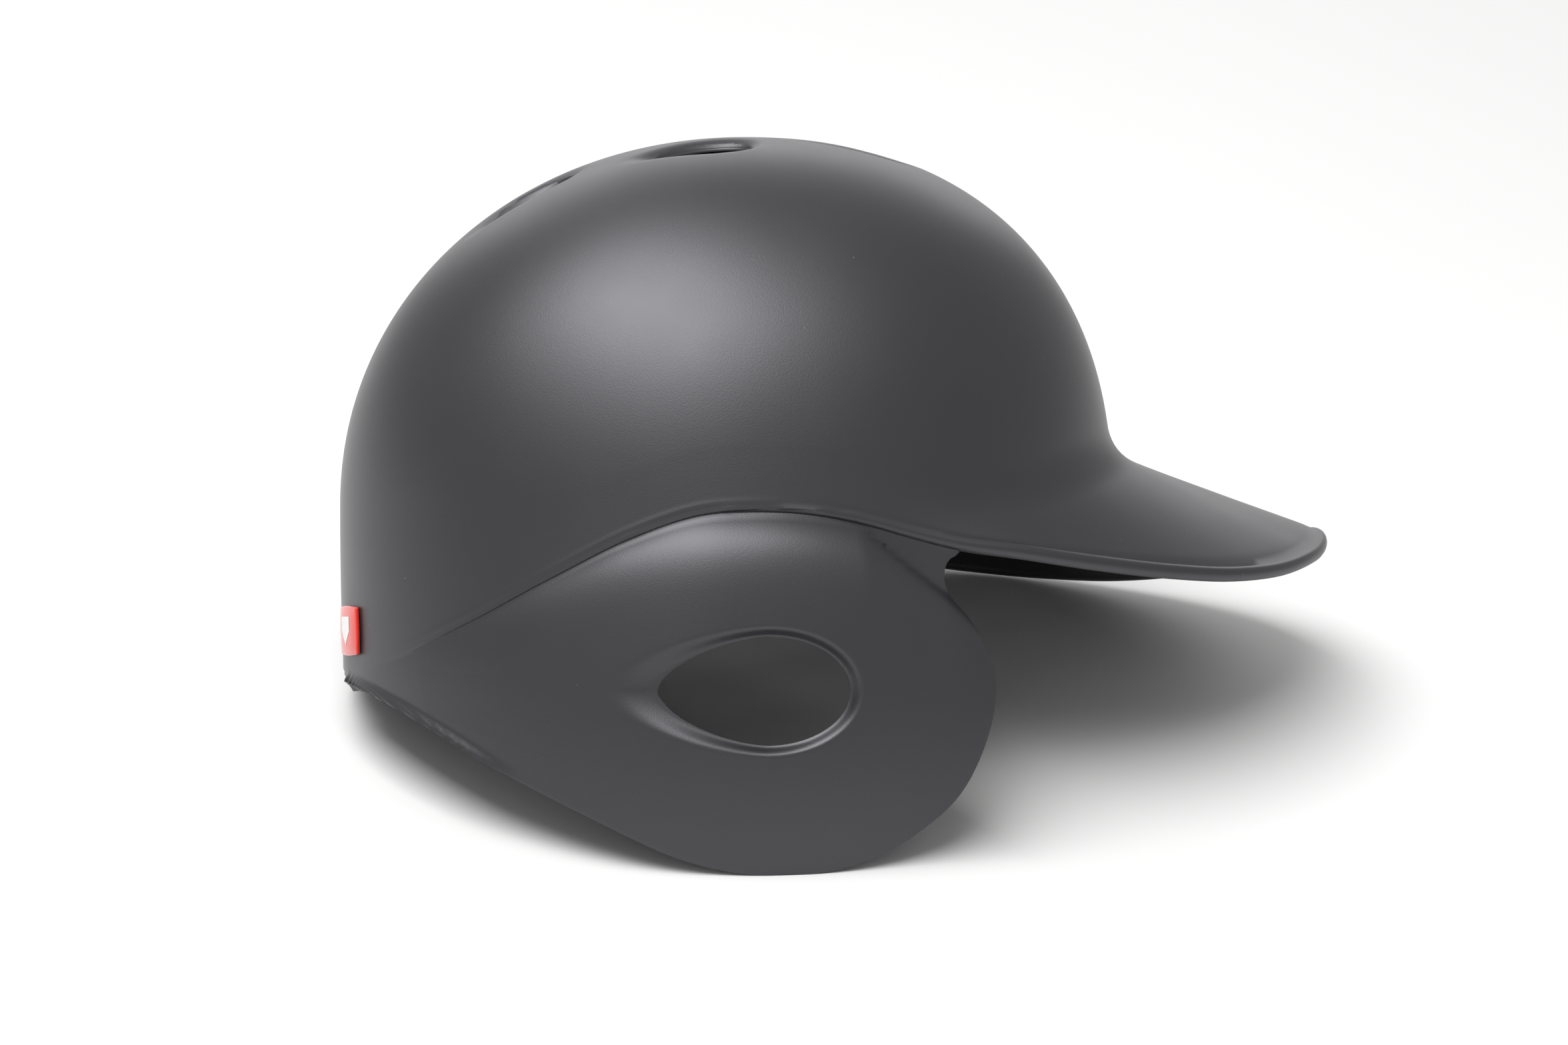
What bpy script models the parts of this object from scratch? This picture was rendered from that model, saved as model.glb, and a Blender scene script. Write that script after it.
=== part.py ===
"""Batting helmet with one ear flap: moulded shell, foam liner, comfort pads and a rear sticker.

Lengths are metres. The helmet is modelled upright: X forward, Y to the wearer's left, Z up, with
the origin on the centre plane at the height of the widest section. An empty then lays it on z = 0
in its resting attitude: rolled onto its bare left side, with the ear flap towards -Y.
"""

import math

import bmesh
import bpy
import numpy as np
from mathutils import Euler, Matrix, Vector

# Dome
WALL = 0.0035
DOME_CENTRE_X = 0.005
FRONT_LENGTH = 0.1108
REAR_LENGTH = 0.122
HALF_WIDTH = 0.098
CROWN_HEIGHT = 0.1107
PLAN_EXPONENT = 2.1
FRONT_EXPONENT = 2.32
SIDE_EXPONENT = 2.2
REAR_EXPONENT = 2.05
WALL_TAPER = 3.6  # share of the width lost per square metre of depth under the widest section
WALL_DEPTH = 0.115

# Lower edge of the dome and brim, as (degrees from straight ahead, height)
EDGE_LINE = (
    (0, -0.0105),
    (12, -0.0175),
    (20, -0.0220),
    (27, -0.0236),
    (35, -0.0230),
    (45, -0.0206),
    (55, -0.0174),
    (64, -0.0148),
    (72, -0.0110),
    (78, -0.0081),
    (89, -0.0048),
    (99, -0.0043),
    (106, -0.0052),
    (118, -0.0121),
    (130, -0.0230),
    (144, -0.0362),
    (158, -0.0460),
    (168, -0.0490),
    (180, -0.0505),
)

# Where the dome stops and the brim starts, in the same terms
ROOT_LINE = (
    (0, 0.0165),
    (18, 0.0150),
    (35, 0.0095),
    (50, 0.0030),
    (64, 0.0010),
    (76, 0.0060),
    (89, 0.0100),
    (99, 0.0105),
    (106, 0.0096),
    (118, 0.0027),
    (130, -0.0082),
    (144, -0.0214),
    (158, -0.0312),
    (180, -0.0357),
)

# Brim
BRIM_CENTRE_X = 0.042
BRIM_LENGTH = 0.143
BRIM_HALF_WIDTH = 0.095
BRIM_BLEND = 0.003
BRIM_CROWN = 0.035  # rise of the brim's middle as a share of its width
ROOT_FILLET = 0.009
LIP_HEIGHT = 0.003
LIP_FILLET = 0.002

# Ear flap: bulge of its outer face over the wall line
BULGE = 0.0085
BULGE_RISE = 0.008
BULGE_FALL_START = 0.050
BULGE_FALL_END = 0.106
TUCK_HEIGHT = 0.005
TUCK_DEPTH = 0.0006

# Upper limit of the bulge in front of the crease, as (x, z)
BULGE_FRONT = ((0.022, -0.0075), (0.0324, -0.0149), (0.0452, -0.0244), (0.070, -0.046))

# Lower outline of the flap from the nape to the notch under the brim, as (x, z)
FLAP_OUTLINE = (
    (-0.1165, -0.0525),
    (-0.1072, -0.0577),
    (-0.0953, -0.0650),
    (-0.0770, -0.0767),
    (-0.0541, -0.0890),
    (-0.0326, -0.0997),
    (-0.0150, -0.1045),
    (0.0000, -0.1056),
    (0.0114, -0.1049),
    (0.0226, -0.1024),
    (0.0337, -0.0974),
    (0.0446, -0.0888),
    (0.0511, -0.0800),
    (0.0559, -0.0667),
    (0.0580, -0.0535),
    (0.0562, -0.0425),
    (0.0528, -0.0336),
    (0.0485, -0.0275),
    (0.0466, -0.0225),
    (0.0475, -0.0175),
    (0.0510, -0.0152),
)
FLAP_CORNER = 11  # outline point where the lower border ends and the front border starts
OUTLINE_STEPS = 12

# Ear hole: an egg with its blunt end forward, measured from its highest point
EAR_X = -0.005
EAR_Z = -0.0536
EAR_FRONT = 0.0225
EAR_REAR = 0.030
EAR_HALF_HEIGHT = 0.01525
EAR_REAR_EXPONENT = 1.6
RECESS_DEPTH = 0.003
RECESS_FRONT = 0.0026
RECESS_REAR = 0.0145
RECESS_SIDES = 0.0030
EAR_RINGS = (0.0, 0.15, 0.35, 0.65, 1.0)

# Vents: teardrops in two rows of three
VENTS = ((-0.062, 0.0145), (-0.013, 0.0300), (0.038, 0.0185))  # x, and y to either side
VENT_LENGTH = 0.028
VENT_WIDTH = 0.013
VENT_POINT = 0.35  # how much slimmer the rear end is
VENT_CUTTER_DEPTH = 0.050
VENT_SEGMENTS = 20

# Liner blocks and comfort pads on the dome's inside, as the middle direction and half angle in
# degrees, then the share of the way from crown to widest section where they start and end
LINER_GAP = 0.0008
LINER_THICKNESS = 0.012
LINER_BLOCKS = {
    "front": (0, 31, 0.40, 0.88),
    "rear": (180, 31, 0.40, 1.18),
    "left": (90, 42, 0.40, 0.94),
    "right": (-90, 42, 0.40, 0.97),
}
CROWN_SHARE = 0.26
PAD_GAP = 0.0034
PAD_THICKNESS = 0.006
PAD_MARGIN_DEGREES = 5
PAD_MARGIN_SHARE = 0.05
CROWN_PAD_SHARE = 0.20
BLOCK_CELL_DEGREES = 7
BLOCK_ROWS = 8
CROWN_CELL_DEGREES = 15
CROWN_ROWS = 5

# Hook-and-loop dots between the blocks and the pads
DOT_RADIUS = 0.007
DOT_THICKNESS = 0.0016
DOT_GAP = 0.0012
DOT_SPREAD_DEGREES = 16
CROWN_DOT_SHARE = 0.10
DOT_SEGMENTS = 16

# Pads in the flap
FLAP_PAD_GAP = 0.0024
FLAP_PAD_THICKNESS = 0.008
EAR_PAD_MARGINS = (0.003, 0.006, 0.010, 0.014)  # from the ear hole's outline
EAR_PAD_SEGMENTS = 30
JAW_PAD_CENTRE = (0.0505, -0.062)
JAW_PAD_HALF_SIZE = (0.0065, 0.020)
JAW_PAD_ROWS = 7
JAW_PAD_COLUMNS = 4

# Rear sticker and its home-plate mark
STICKER_HALF_HEIGHT = 0.0074
STICKER_TURN = math.radians(7.8)  # round from the rear centre towards the flap
STICKER_HALF_TURN = math.radians(4.4)
STICKER_Z = -0.0375
STICKER_THICKNESS = 0.0012
STICKER_GAP = 0.0005
STICKER_ROUNDING = 0.12
STICKER_ROWS = 5
STICKER_COLUMNS = 7
MARK_HALF_WIDTH = 0.0042
MARK_THICKNESS = 0.0004
MARK_GAP = 0.0004

# Resting attitude
REST_ANGLES = (math.radians(-24.25), math.radians(1.76), 0.0)
REST_PLACE = (-0.0323, 0.0132, 0.0576)  # puts the bottom middle of the whole helmet at the origin
FLOOR_CUTTER_SIZE = 0.6

# Colours
SHELL_COLOUR = (0.035, 0.034, 0.038)
FOAM_COLOUR = (0.05, 0.05, 0.052)
FABRIC_COLOUR = (0.02, 0.02, 0.022)
HOOK_COLOUR = (0.03, 0.03, 0.03)
STICKER_COLOUR = (0.78, 0.045, 0.03)
MARK_COLOUR = (0.85, 0.85, 0.84)

# Mesh density
COLUMNS = 56
DOME_ROWS = 12
FILLET_STEPS = 4
BRIM_STEPS = 3
LIP_STEPS = 3
DOME_SAMPLES = 90
WALL_SAMPLES = 60
SIDE_SAMPLES = 300
NORMAL_STEP = 0.02
FLAP_COLUMNS = 32
FLAP_ROWS = 10
EAR_BLOCK = (2, 8, 17, 28)  # rows and columns of the flap's grid that the ear hole's rings replace


def clear_scene():
    for old in list(bpy.data.objects):
        bpy.data.objects.remove(old, do_unlink=True)


def smooth_step(value):
    value = np.clip(value, 0.0, 1.0)
    return value * value * (3.0 - 2.0 * value)


def read_line(points, at):
    """Smooth curve through (position, value) points, level at both ends, read at some positions."""
    places, values = np.array(points, dtype=float).T
    slopes = np.gradient(values, places)
    slopes[0] = slopes[-1] = 0.0
    at = np.clip(at, places[0], places[-1])
    index = np.clip(np.searchsorted(places, at) - 1, 0, len(places) - 2)
    span = places[index + 1] - places[index]
    t = (at - places[index]) / span
    start = values[index] * (2 * t**3 - 3 * t**2 + 1) + slopes[index] * span * (t**3 - 2 * t**2 + t)
    end = values[index + 1] * (3 * t**2 - 2 * t**3) + slopes[index + 1] * span * (t**3 - t**2)
    return start + end


def smooth_path(points, steps):
    """Catmull-Rom curve through plane points, as a dense line."""
    points = np.array(points, dtype=float)
    padded = np.vstack((2 * points[0] - points[1], points, 2 * points[-1] - points[-2]))
    t = np.linspace(0.0, 1.0, steps, endpoint=False)[:, None]
    line = []
    for a, b, c, d in zip(padded, padded[1:], padded[2:], padded[3:]):
        bend = (2 * a - 5 * b + 4 * c - d) * t**2 + (3 * b - a - 3 * c + d) * t**3
        line.append(0.5 * (2 * b + (c - a) * t + bend))
    line.append(points[-1:])
    return np.vstack(line)


def along(line):
    """Distance run along a line of points."""
    return np.concatenate(([0.0], np.cumsum(np.linalg.norm(np.diff(line, axis=0), axis=1))))


def resample(line, distances):
    run = along(line)
    return np.column_stack([np.interp(distances, run, line[:, k]) for k in range(line.shape[1])])


def wall_radius(angle):
    """Distance from the dome's axis to the wall at the widest section."""
    length = np.where(np.cos(angle) > 0, FRONT_LENGTH, REAR_LENGTH)
    forward = np.abs(np.cos(angle) / length) ** PLAN_EXPONENT
    sideways = np.abs(np.sin(angle) / HALF_WIDTH) ** PLAN_EXPONENT
    return (forward + sideways) ** (-1.0 / PLAN_EXPONENT)


def brim_radius(angle):
    """Distance from the dome's axis to the brim's outline, an ellipse about its own centre."""
    shift = DOME_CENTRE_X - BRIM_CENTRE_X
    a = (np.cos(angle) / BRIM_LENGTH) ** 2 + (np.sin(angle) / BRIM_HALF_WIDTH) ** 2
    b = 2.0 * shift * np.cos(angle) / BRIM_LENGTH**2
    c = (shift / BRIM_LENGTH) ** 2 - 1.0
    return (-b + np.sqrt(b * b - 4.0 * a * c)) / (2.0 * a)


def edge_radius(angle):
    """Distance to the lower edge: the brim's outline in front, running smoothly into the wall."""
    wall = wall_radius(angle)
    brim = brim_radius(angle)
    return 0.5 * (wall + brim + np.sqrt((wall - brim) ** 2 + BRIM_BLEND**2))


def profile_exponent(angle):
    end = FRONT_EXPONENT if math.cos(angle) > 0 else REAR_EXPONENT
    return SIDE_EXPONENT + (end - SIDE_EXPONENT) * math.cos(angle) ** 2


def dome_profile(angle):
    """Radius and height down the dome and the wall under it, crown first, as a dense line."""
    reach = float(wall_radius(angle))
    exponent = profile_exponent(angle)
    tilt = np.linspace(0.0, math.pi / 2, DOME_SAMPLES)
    swell = (np.sin(tilt) / reach) ** exponent + (np.cos(tilt) / CROWN_HEIGHT) ** exponent
    distance = swell ** (-1.0 / exponent)
    drop = np.linspace(0.0, WALL_DEPTH, WALL_SAMPLES)[1:]
    radius = np.concatenate((distance * np.sin(tilt), reach * (1 - WALL_TAPER * drop**2)))
    height = np.concatenate((distance * np.cos(tilt), -drop))
    return np.column_stack((radius, height))


def round_corner(before, corner, after, size, steps):
    """Points that round a corner between two neighbouring points."""
    start = corner + (before - corner) * min(1.0, size / np.linalg.norm(before - corner))
    end = corner + (after - corner) * min(1.0, size / np.linalg.norm(after - corner))
    t = np.linspace(0.0, 1.0, steps)[:, None]
    return start * (1 - t) ** 2 + corner * 2 * t * (1 - t) + end * t**2


def shell_profile(angle):
    """Rows of radius and height from the crown down to the free edge at one plan angle."""
    degrees = abs(math.degrees(math.remainder(angle, 2 * math.pi)))
    root_height = float(read_line(ROOT_LINE, degrees))
    edge_height = float(read_line(EDGE_LINE, degrees))
    dome = dome_profile(angle)
    root = np.array([np.interp(-root_height, -dome[:, 1], dome[:, 0]), root_height])
    dome = np.vstack((dome[dome[:, 1] > root_height + 1e-6], root))
    reach = float(edge_radius(angle))
    if degrees > 90:
        reach *= 1 - WALL_TAPER * edge_height**2
    shoulder = np.array([reach, edge_height + LIP_HEIGHT])
    edge = np.array([reach, edge_height])
    width = np.linalg.norm(shoulder - root)
    fillet = min(ROOT_FILLET, 0.4 * width)
    run = along(dome)
    rows = resample(dome, np.linspace(0.0, run[-1] - fillet, DOME_ROWS))
    above = resample(dome, [run[-1] - fillet])[0]
    rise = BRIM_CROWN * width * math.sin(angle) ** 2
    middle = 0.5 * (root + shoulder) + np.array([0.0, rise])
    corner_rows = round_corner(above, root, middle, fillet, FILLET_STEPS)[1:]
    brim_rows = np.linspace(corner_rows[-1], middle, BRIM_STEPS)[1:]
    lip_fillet = min(LIP_FILLET, 0.3 * width)
    lip_rows = round_corner(middle, shoulder, edge, lip_fillet, LIP_STEPS)
    return np.vstack((rows, corner_rows, brim_rows, lip_rows, edge))


def to_space(angle, radius, height):
    return Vector((DOME_CENTRE_X + radius * math.cos(angle), radius * math.sin(angle), height))


def parts_collection(name):
    collection = bpy.data.collections.new(name)
    bpy.context.scene.collection.children.link(collection)
    return collection


def make_material(name, colour, roughness, metallic=0.0):
    material = bpy.data.materials.new(name)
    material.use_nodes = True
    shader = material.node_tree.nodes["Principled BSDF"]
    shader.inputs["Base Color"].default_value = (*colour, 1.0)
    shader.inputs["Roughness"].default_value = roughness
    shader.inputs["Metallic"].default_value = metallic
    return material


def add_object(name, bm, collection, parent, material=None):
    mesh = bpy.data.meshes.new(name)
    bm.to_mesh(mesh)
    bm.free()
    mesh.shade_smooth()
    mesh.set_sharp_from_angle(angle=math.radians(40))
    ob = bpy.data.objects.new(name, mesh)
    ob.parent = parent
    collection.objects.link(ob)
    if material:
        mesh.materials.append(material)
    return ob


def add_grid(bm, points, closed, hole=None):
    """Sheet over a table of points, rows by columns, facing away from the rows' left-hand side.

    The columns join round when closed. A hole is (first row, last row, first column, last column).
    """
    rows = len(points) - 1
    columns = len(points[0]) - (0 if closed else 1)
    made = bmesh.ops.create_grid(bm, x_segments=columns, y_segments=rows, size=0.5)["verts"]
    place = {vert: (round((0.5 - vert.co.y) * rows), round((vert.co.x + 0.5) * columns)) for vert in made}
    if hole:
        faces = {face for vert in made for face in vert.link_faces}
        inside = [face for face in faces if in_hole([place[vert] for vert in face.verts], hole)]
        bmesh.ops.delete(bm, geom=inside, context="FACES")
    for vert, (row, column) in place.items():
        if vert.is_valid:
            vert.co = points[row][column % len(points[0])]


def in_hole(places, hole):
    """Whether a face with these (row, column) corners lies in the hole."""
    rows = [row for row, _ in places]
    columns = [column for _, column in places]
    return min(rows) >= hole[0] and max(rows) <= hole[1] and min(columns) >= hole[2] and max(columns) <= hole[3]


def sheet(points, closed):
    """Open surface over a table of points, with its doubled points welded."""
    bm = bmesh.new()
    add_grid(bm, points, closed)
    bmesh.ops.remove_doubles(bm, verts=bm.verts, dist=1e-6)
    return bm


def add_solidify(ob, thickness):
    """Thickens an open sheet inwards, away from its outer face."""
    thicken = ob.modifiers.new("thickness", "SOLIDIFY")
    thicken.thickness = thickness
    thicken.offset = -1.0
    thicken.use_even_offset = True
    thicken.use_quality_normals = True


def add_boolean(ob, cutter, operation):
    boolean = ob.modifiers.new(operation.lower(), "BOOLEAN")
    boolean.operation = operation
    boolean.object = cutter
    boolean.solver = "EXACT"


def as_cutter(ob):
    ob.hide_render = True
    ob.display_type = "WIRE"


def dome_sheet():
    """Outer face of the dome and brim as rows of points round the dome's axis."""
    angles = [2 * math.pi * k / COLUMNS for k in range(COLUMNS)]
    profiles = [shell_profile(angle) for angle in angles]
    return [
        [to_space(angle, *profile[row]) for angle, profile in zip(angles, profiles)]
        for row in range(len(profiles[0]))
    ]


def side_line():
    """Plan line of the flap's wall from the nape forward on the right side: angle, x and run."""
    angles = np.radians(np.linspace(180.0, 40.0, SIDE_SAMPLES))
    reach = edge_radius(angles)
    plan = np.column_stack((DOME_CENTRE_X + reach * np.cos(angles), -reach * np.sin(angles)))
    run = along(plan)
    zero = np.interp(EAR_X, plan[:, 0], run)
    return angles, plan[:, 0], run - zero


SIDE_ANGLES, SIDE_X, SIDE_RUN = side_line()


def bulge_limit(x):
    """Height of the crease, and of the bulge's upper limit in front of it."""
    degrees = np.degrees(np.interp(x, SIDE_X, SIDE_ANGLES))
    crease = read_line(EDGE_LINE, degrees)
    front = np.interp(x, *np.array(BULGE_FRONT).T)
    return np.where(x > BULGE_FRONT[0][0], np.minimum(front, crease), crease)


def flap_bulge(x, z):
    """How far the flap's outer face stands out from the wall line."""
    depth = np.maximum(0.0, bulge_limit(x) - z)
    rise = 1.0 - np.exp(-depth / BULGE_RISE)
    lower = np.clip((-z - BULGE_FALL_START) / (BULGE_FALL_END - BULGE_FALL_START), 0.0, 1.0)
    length = 0.10 + 0.90 * smooth_step((x + 0.115) / 0.100)
    front = 1.0 - 0.45 * smooth_step((x - 0.045) / 0.035)
    return BULGE * rise * (1.0 - lower**2) * length * front


def ear_curve(margin, turn):
    """Egg outline about the ear hole's highest point, grown outwards by a margin."""
    forward = math.cos(turn) > 0
    power = 1.0 if forward else 2.0 / EAR_REAR_EXPONENT
    reach = (EAR_FRONT if forward else EAR_REAR) + margin
    run = math.copysign(reach * abs(math.cos(turn)) ** power, math.cos(turn))
    rise = math.copysign((EAR_HALF_HEIGHT + margin) * abs(math.sin(turn)) ** power, math.sin(turn))
    return run, rise


def recess_depth(run, z):
    """Depth of the hollow round the ear hole: a narrow step with a long ramp to the rear."""
    forward = run > 0
    inner = EAR_FRONT if forward else EAR_REAR
    outer = inner + (RECESS_FRONT if forward else RECESS_REAR)
    exponent = 2.0 if forward else EAR_REAR_EXPONENT
    rise = abs(z - EAR_Z)
    at_hole = (abs(run) / inner) ** exponent + (rise / EAR_HALF_HEIGHT) ** exponent
    outline = EAR_HALF_HEIGHT + RECESS_SIDES
    at_border = (abs(run) / outer) ** exponent + (rise / outline) ** exponent
    inside = 1.0 - at_border ** (1.0 / exponent)
    outside = at_hole ** (1.0 / exponent) - 1.0
    share = inside / (inside + max(outside, 0.0)) if inside > 0 else 0.0
    return RECESS_DEPTH * float(smooth_step(share))


def flap_point(run, z, depth=0.0):
    """Point at a depth under the flap's outer face, from its run along the side and its height."""
    angle = float(np.interp(run, SIDE_RUN, -SIDE_ANGLES))
    x = float(np.interp(run, SIDE_RUN, SIDE_X))
    reach = float(edge_radius(angle)) * (1 - WALL_TAPER * z * z) - TUCK_DEPTH
    reach += float(flap_bulge(x, z)) - recess_depth(run, z) - depth
    return to_space(angle, reach, z)


def tuck_point(run):
    """Point inside the dome's wall, a little above its lower edge."""
    angle = float(np.interp(run, SIDE_RUN, -SIDE_ANGLES))
    profile = shell_profile(angle)
    distance = along(profile)
    above = resample(profile, [distance[-1] - TUCK_HEIGHT])[0]
    return to_space(angle, above[0] - 2 * TUCK_DEPTH, above[1] - TUCK_DEPTH)


def run_from_x(x):
    """Run along the side at a distance in front of the origin."""
    return np.interp(x, SIDE_X, SIDE_RUN)


def flap_sides():
    """The flap's crease, lower and front borders in (run, height), as dense lines."""
    notch = FLAP_OUTLINE[-1]
    x = np.linspace(SIDE_X[0], notch[0], SIDE_SAMPLES)
    degrees = np.degrees(np.interp(x, SIDE_X, SIDE_ANGLES))
    crease = np.column_stack((run_from_x(x), read_line(EDGE_LINE, degrees)))
    outline = smooth_path(FLAP_OUTLINE, OUTLINE_STEPS)
    outline[:, 0] = run_from_x(outline[:, 0])
    corner = OUTLINE_STEPS * FLAP_CORNER
    front = outline[corner:][::-1]
    front[0] = crease[-1]
    return crease, outline[: corner + 1], front


def flap_table():
    """(run, height) of the flap's grid: a patch between crease, lower border and front border."""
    crease, lower, front = flap_sides()
    across = np.linspace(0.0, 1.0, FLAP_COLUMNS + 1)
    down = np.linspace(0.0, 1.0, FLAP_ROWS + 1)
    top = resample(crease, across * along(crease)[-1])
    bottom = resample(lower, across * along(lower)[-1])
    side = resample(front, down * along(front)[-1])
    bow = side - np.outer(1 - down, side[0]) - np.outer(down, side[-1])
    lean = across**3
    return [top * (1 - v) + bottom * v + np.outer(lean, bow[k]) for k, v in enumerate(down)]


def hole_rings(table):
    """Rings of (run, height) from the ear hole out to the block of cells left open for it."""
    first_row, last_row, first_column, last_column = EAR_BLOCK
    edge = [(row, first_column) for row in range(first_row, last_row)]
    edge += [(last_row, column) for column in range(first_column, last_column)]
    edge += [(row, last_column) for row in range(last_row, first_row, -1)]
    edge += [(first_row, column) for column in range(last_column, first_column, -1)]
    outer = np.array([table[row][column] for row, column in edge])
    centre = np.array([0.0, EAR_Z])
    facing = np.arctan2((outer - centre)[:, 1] / EAR_HALF_HEIGHT, (outer - centre)[:, 0] / EAR_REAR)
    inner = centre + np.array([ear_curve(0.0, turn) for turn in facing])
    return [inner + (outer - inner) * share for share in EAR_RINGS]


def flap_mesh():
    """Outer face of the flap, open at the ear hole and tucked into the dome's wall at the crease."""
    table = flap_table()
    points = [[tuck_point(run) for run, _ in table[0]]]
    points += [[flap_point(run, z) for run, z in row] for row in table]
    rings = [[flap_point(run, z) for run, z in ring] for ring in hole_rings(table)]
    bm = bmesh.new()
    first_row, last_row, first_column, last_column = EAR_BLOCK
    add_grid(bm, points, False, (first_row + 1, last_row + 1, first_column, last_column))
    add_grid(bm, rings, True)
    bmesh.ops.remove_doubles(bm, verts=bm.verts, dist=1e-6)
    return bm


def dome_point(angle, share):
    """Point of the dome's outer face, and of the wall under it.

    The share runs from 0 at the crown through 1 at the widest section to more on the wall below.
    """
    line = dome_profile(angle)
    radius, height = resample(line, [share * along(line)[DOME_SAMPLES - 1]])[0]
    return to_space(angle, radius, height)


def dome_spot(angle, share, depth=0.0):
    """Point at a depth under the dome's outer face, and the outward direction there."""
    normal = Vector((0.0, 0.0, 1.0))
    if share > 0:
        around = dome_point(angle + NORMAL_STEP, share) - dome_point(angle - NORMAL_STEP, share)
        down = dome_point(angle, share + NORMAL_STEP) - dome_point(angle, share - NORMAL_STEP)
        normal = down.cross(around).normalized()
    return dome_point(angle, share) - depth * normal, normal


def dome_patch(block, depth, margin_degrees=0.0, margin_share=0.0):
    """Points over one block of the dome at a depth, rows downwards and columns to the left."""
    middle, half, first, last = block
    half -= margin_degrees
    columns = math.ceil(2 * half / BLOCK_CELL_DEGREES) + 1
    angles = np.radians(np.linspace(middle - half, middle + half, columns))
    shares = np.linspace(first + margin_share, last - margin_share, BLOCK_ROWS)
    return [[dome_spot(angle, share, depth)[0] for angle in angles] for share in shares]


def crown_patch(last_share, depth):
    """Points over a cap round the crown at a depth, rows outwards."""
    angles = np.radians(np.arange(0, 360, CROWN_CELL_DEGREES))
    shares = np.linspace(0.0, last_share, CROWN_ROWS)
    return [[dome_spot(angle, share, depth)[0] for angle in angles] for share in shares]


def facing(normal, forward):
    """Rotation that turns local Z to the normal and local X as near forward as it can."""
    side = normal.cross(forward).normalized()
    along_x = side.cross(normal)
    return Matrix((along_x, side, normal)).transposed().to_euler()


def place_disc(name, bm, spot, collection, parent, material=None):
    ob = add_object(name, bm, collection, parent, material)
    ob.location, normal = spot
    forward = Vector((1.0, 0.0, 0.0)) if abs(normal.x) < 0.9 else Vector((0.0, 0.0, 1.0))
    ob.rotation_euler = facing(normal, forward)
    return ob


def vent_cutter(number, x, y, cutters, parent):
    """Teardrop prism square to the dome, blunt end forward."""
    bm = bmesh.new()
    bmesh.ops.create_cone(
        bm,
        cap_ends=True,
        segments=VENT_SEGMENTS,
        radius1=0.5,
        radius2=0.5,
        depth=VENT_CUTTER_DEPTH,
    )
    for vert in bm.verts:
        vert.co.y *= VENT_WIDTH * (1.0 + VENT_POINT * 2.0 * vert.co.x)
        vert.co.x *= VENT_LENGTH
    angle = math.atan2(y, x - DOME_CENTRE_X)
    line = dome_profile(angle)
    run = along(line)
    share = np.interp(math.hypot(y, x - DOME_CENTRE_X), line[:DOME_SAMPLES, 0], run[:DOME_SAMPLES])
    spot = dome_spot(angle, share / run[DOME_SAMPLES - 1])
    cutter = place_disc(f"vent_cutter_{number}", bm, spot, cutters, parent)
    as_cutter(cutter)
    return cutter


def floor_cutter(cutters):
    """Block under the floor, which leaves small flats where the shell rests."""
    bm = bmesh.new()
    bmesh.ops.create_cube(bm, size=FLOOR_CUTTER_SIZE)
    cutter = add_object("floor_cutter", bm, cutters, None)
    cutter.location.z = -FLOOR_CUTTER_SIZE / 2
    as_cutter(cutter)
    return cutter


def build_shell(parts, cutters, parent, material):
    shell = add_object("outer_shell", sheet(dome_sheet(), True), parts, parent, material)
    add_solidify(shell, WALL)
    flap = add_object("flap_body", flap_mesh(), cutters, parent)
    add_solidify(flap, WALL)
    as_cutter(flap)
    add_boolean(shell, flap, "UNION")
    vents = [(x, side * y) for x, y in VENTS for side in (-1, 1)]
    vent_cutters = [vent_cutter(k, x, y, cutters, parent) for k, (x, y) in enumerate(vents, 1)]
    for cutter in vent_cutters:
        add_boolean(shell, cutter, "DIFFERENCE")
    add_boolean(shell, floor_cutter(cutters), "DIFFERENCE")
    return vent_cutters


def build_liner(parts, parent, vent_cutters, material):
    depth = WALL + LINER_GAP
    for name, block in LINER_BLOCKS.items():
        bm = sheet(dome_patch(block, depth), False)
        add_solidify(add_object(f"{name}_liner", bm, parts, parent, material), LINER_THICKNESS)
    bm = sheet(crown_patch(CROWN_SHARE, depth), True)
    crown = add_object("crown_liner", bm, parts, parent, material)
    add_solidify(crown, LINER_THICKNESS)
    middle = len(vent_cutters) // 2
    for cutter in vent_cutters[middle - 1 : middle + 1]:
        add_boolean(crown, cutter, "DIFFERENCE")


def build_pads(parts, parent, material):
    depth = WALL + LINER_GAP + LINER_THICKNESS + PAD_GAP
    for name, block in LINER_BLOCKS.items():
        bm = sheet(dome_patch(block, depth, PAD_MARGIN_DEGREES, PAD_MARGIN_SHARE), False)
        add_solidify(add_object(f"{name}_pad", bm, parts, parent, material), PAD_THICKNESS)
    bm = sheet(crown_patch(CROWN_PAD_SHARE, depth), True)
    add_solidify(add_object("crown_pad", bm, parts, parent, material), PAD_THICKNESS)


def dot_spots():
    """Two places for each pad, keyed by the pad's name."""
    depth = WALL + LINER_GAP + LINER_THICKNESS + DOT_GAP + DOT_THICKNESS / 2
    spots = {}
    for name, (middle, _, first, last) in LINER_BLOCKS.items():
        angles = np.radians([middle - DOT_SPREAD_DEGREES, middle + DOT_SPREAD_DEGREES])
        spots[name] = [dome_spot(angle, (first + last) / 2, depth) for angle in angles]
    spots["crown"] = [dome_spot(angle, CROWN_DOT_SHARE, depth) for angle in (0.0, math.pi)]
    return spots


def build_dots(parts, parent, material):
    for name, spots in dot_spots().items():
        for number, spot in enumerate(spots, 1):
            bm = bmesh.new()
            bmesh.ops.create_cone(
                bm,
                cap_ends=True,
                segments=DOT_SEGMENTS,
                radius1=DOT_RADIUS,
                radius2=DOT_RADIUS,
                depth=DOT_THICKNESS,
            )
            place_disc(f"hook_dot_{name}_{number}", bm, spot, parts, parent, material)


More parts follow.
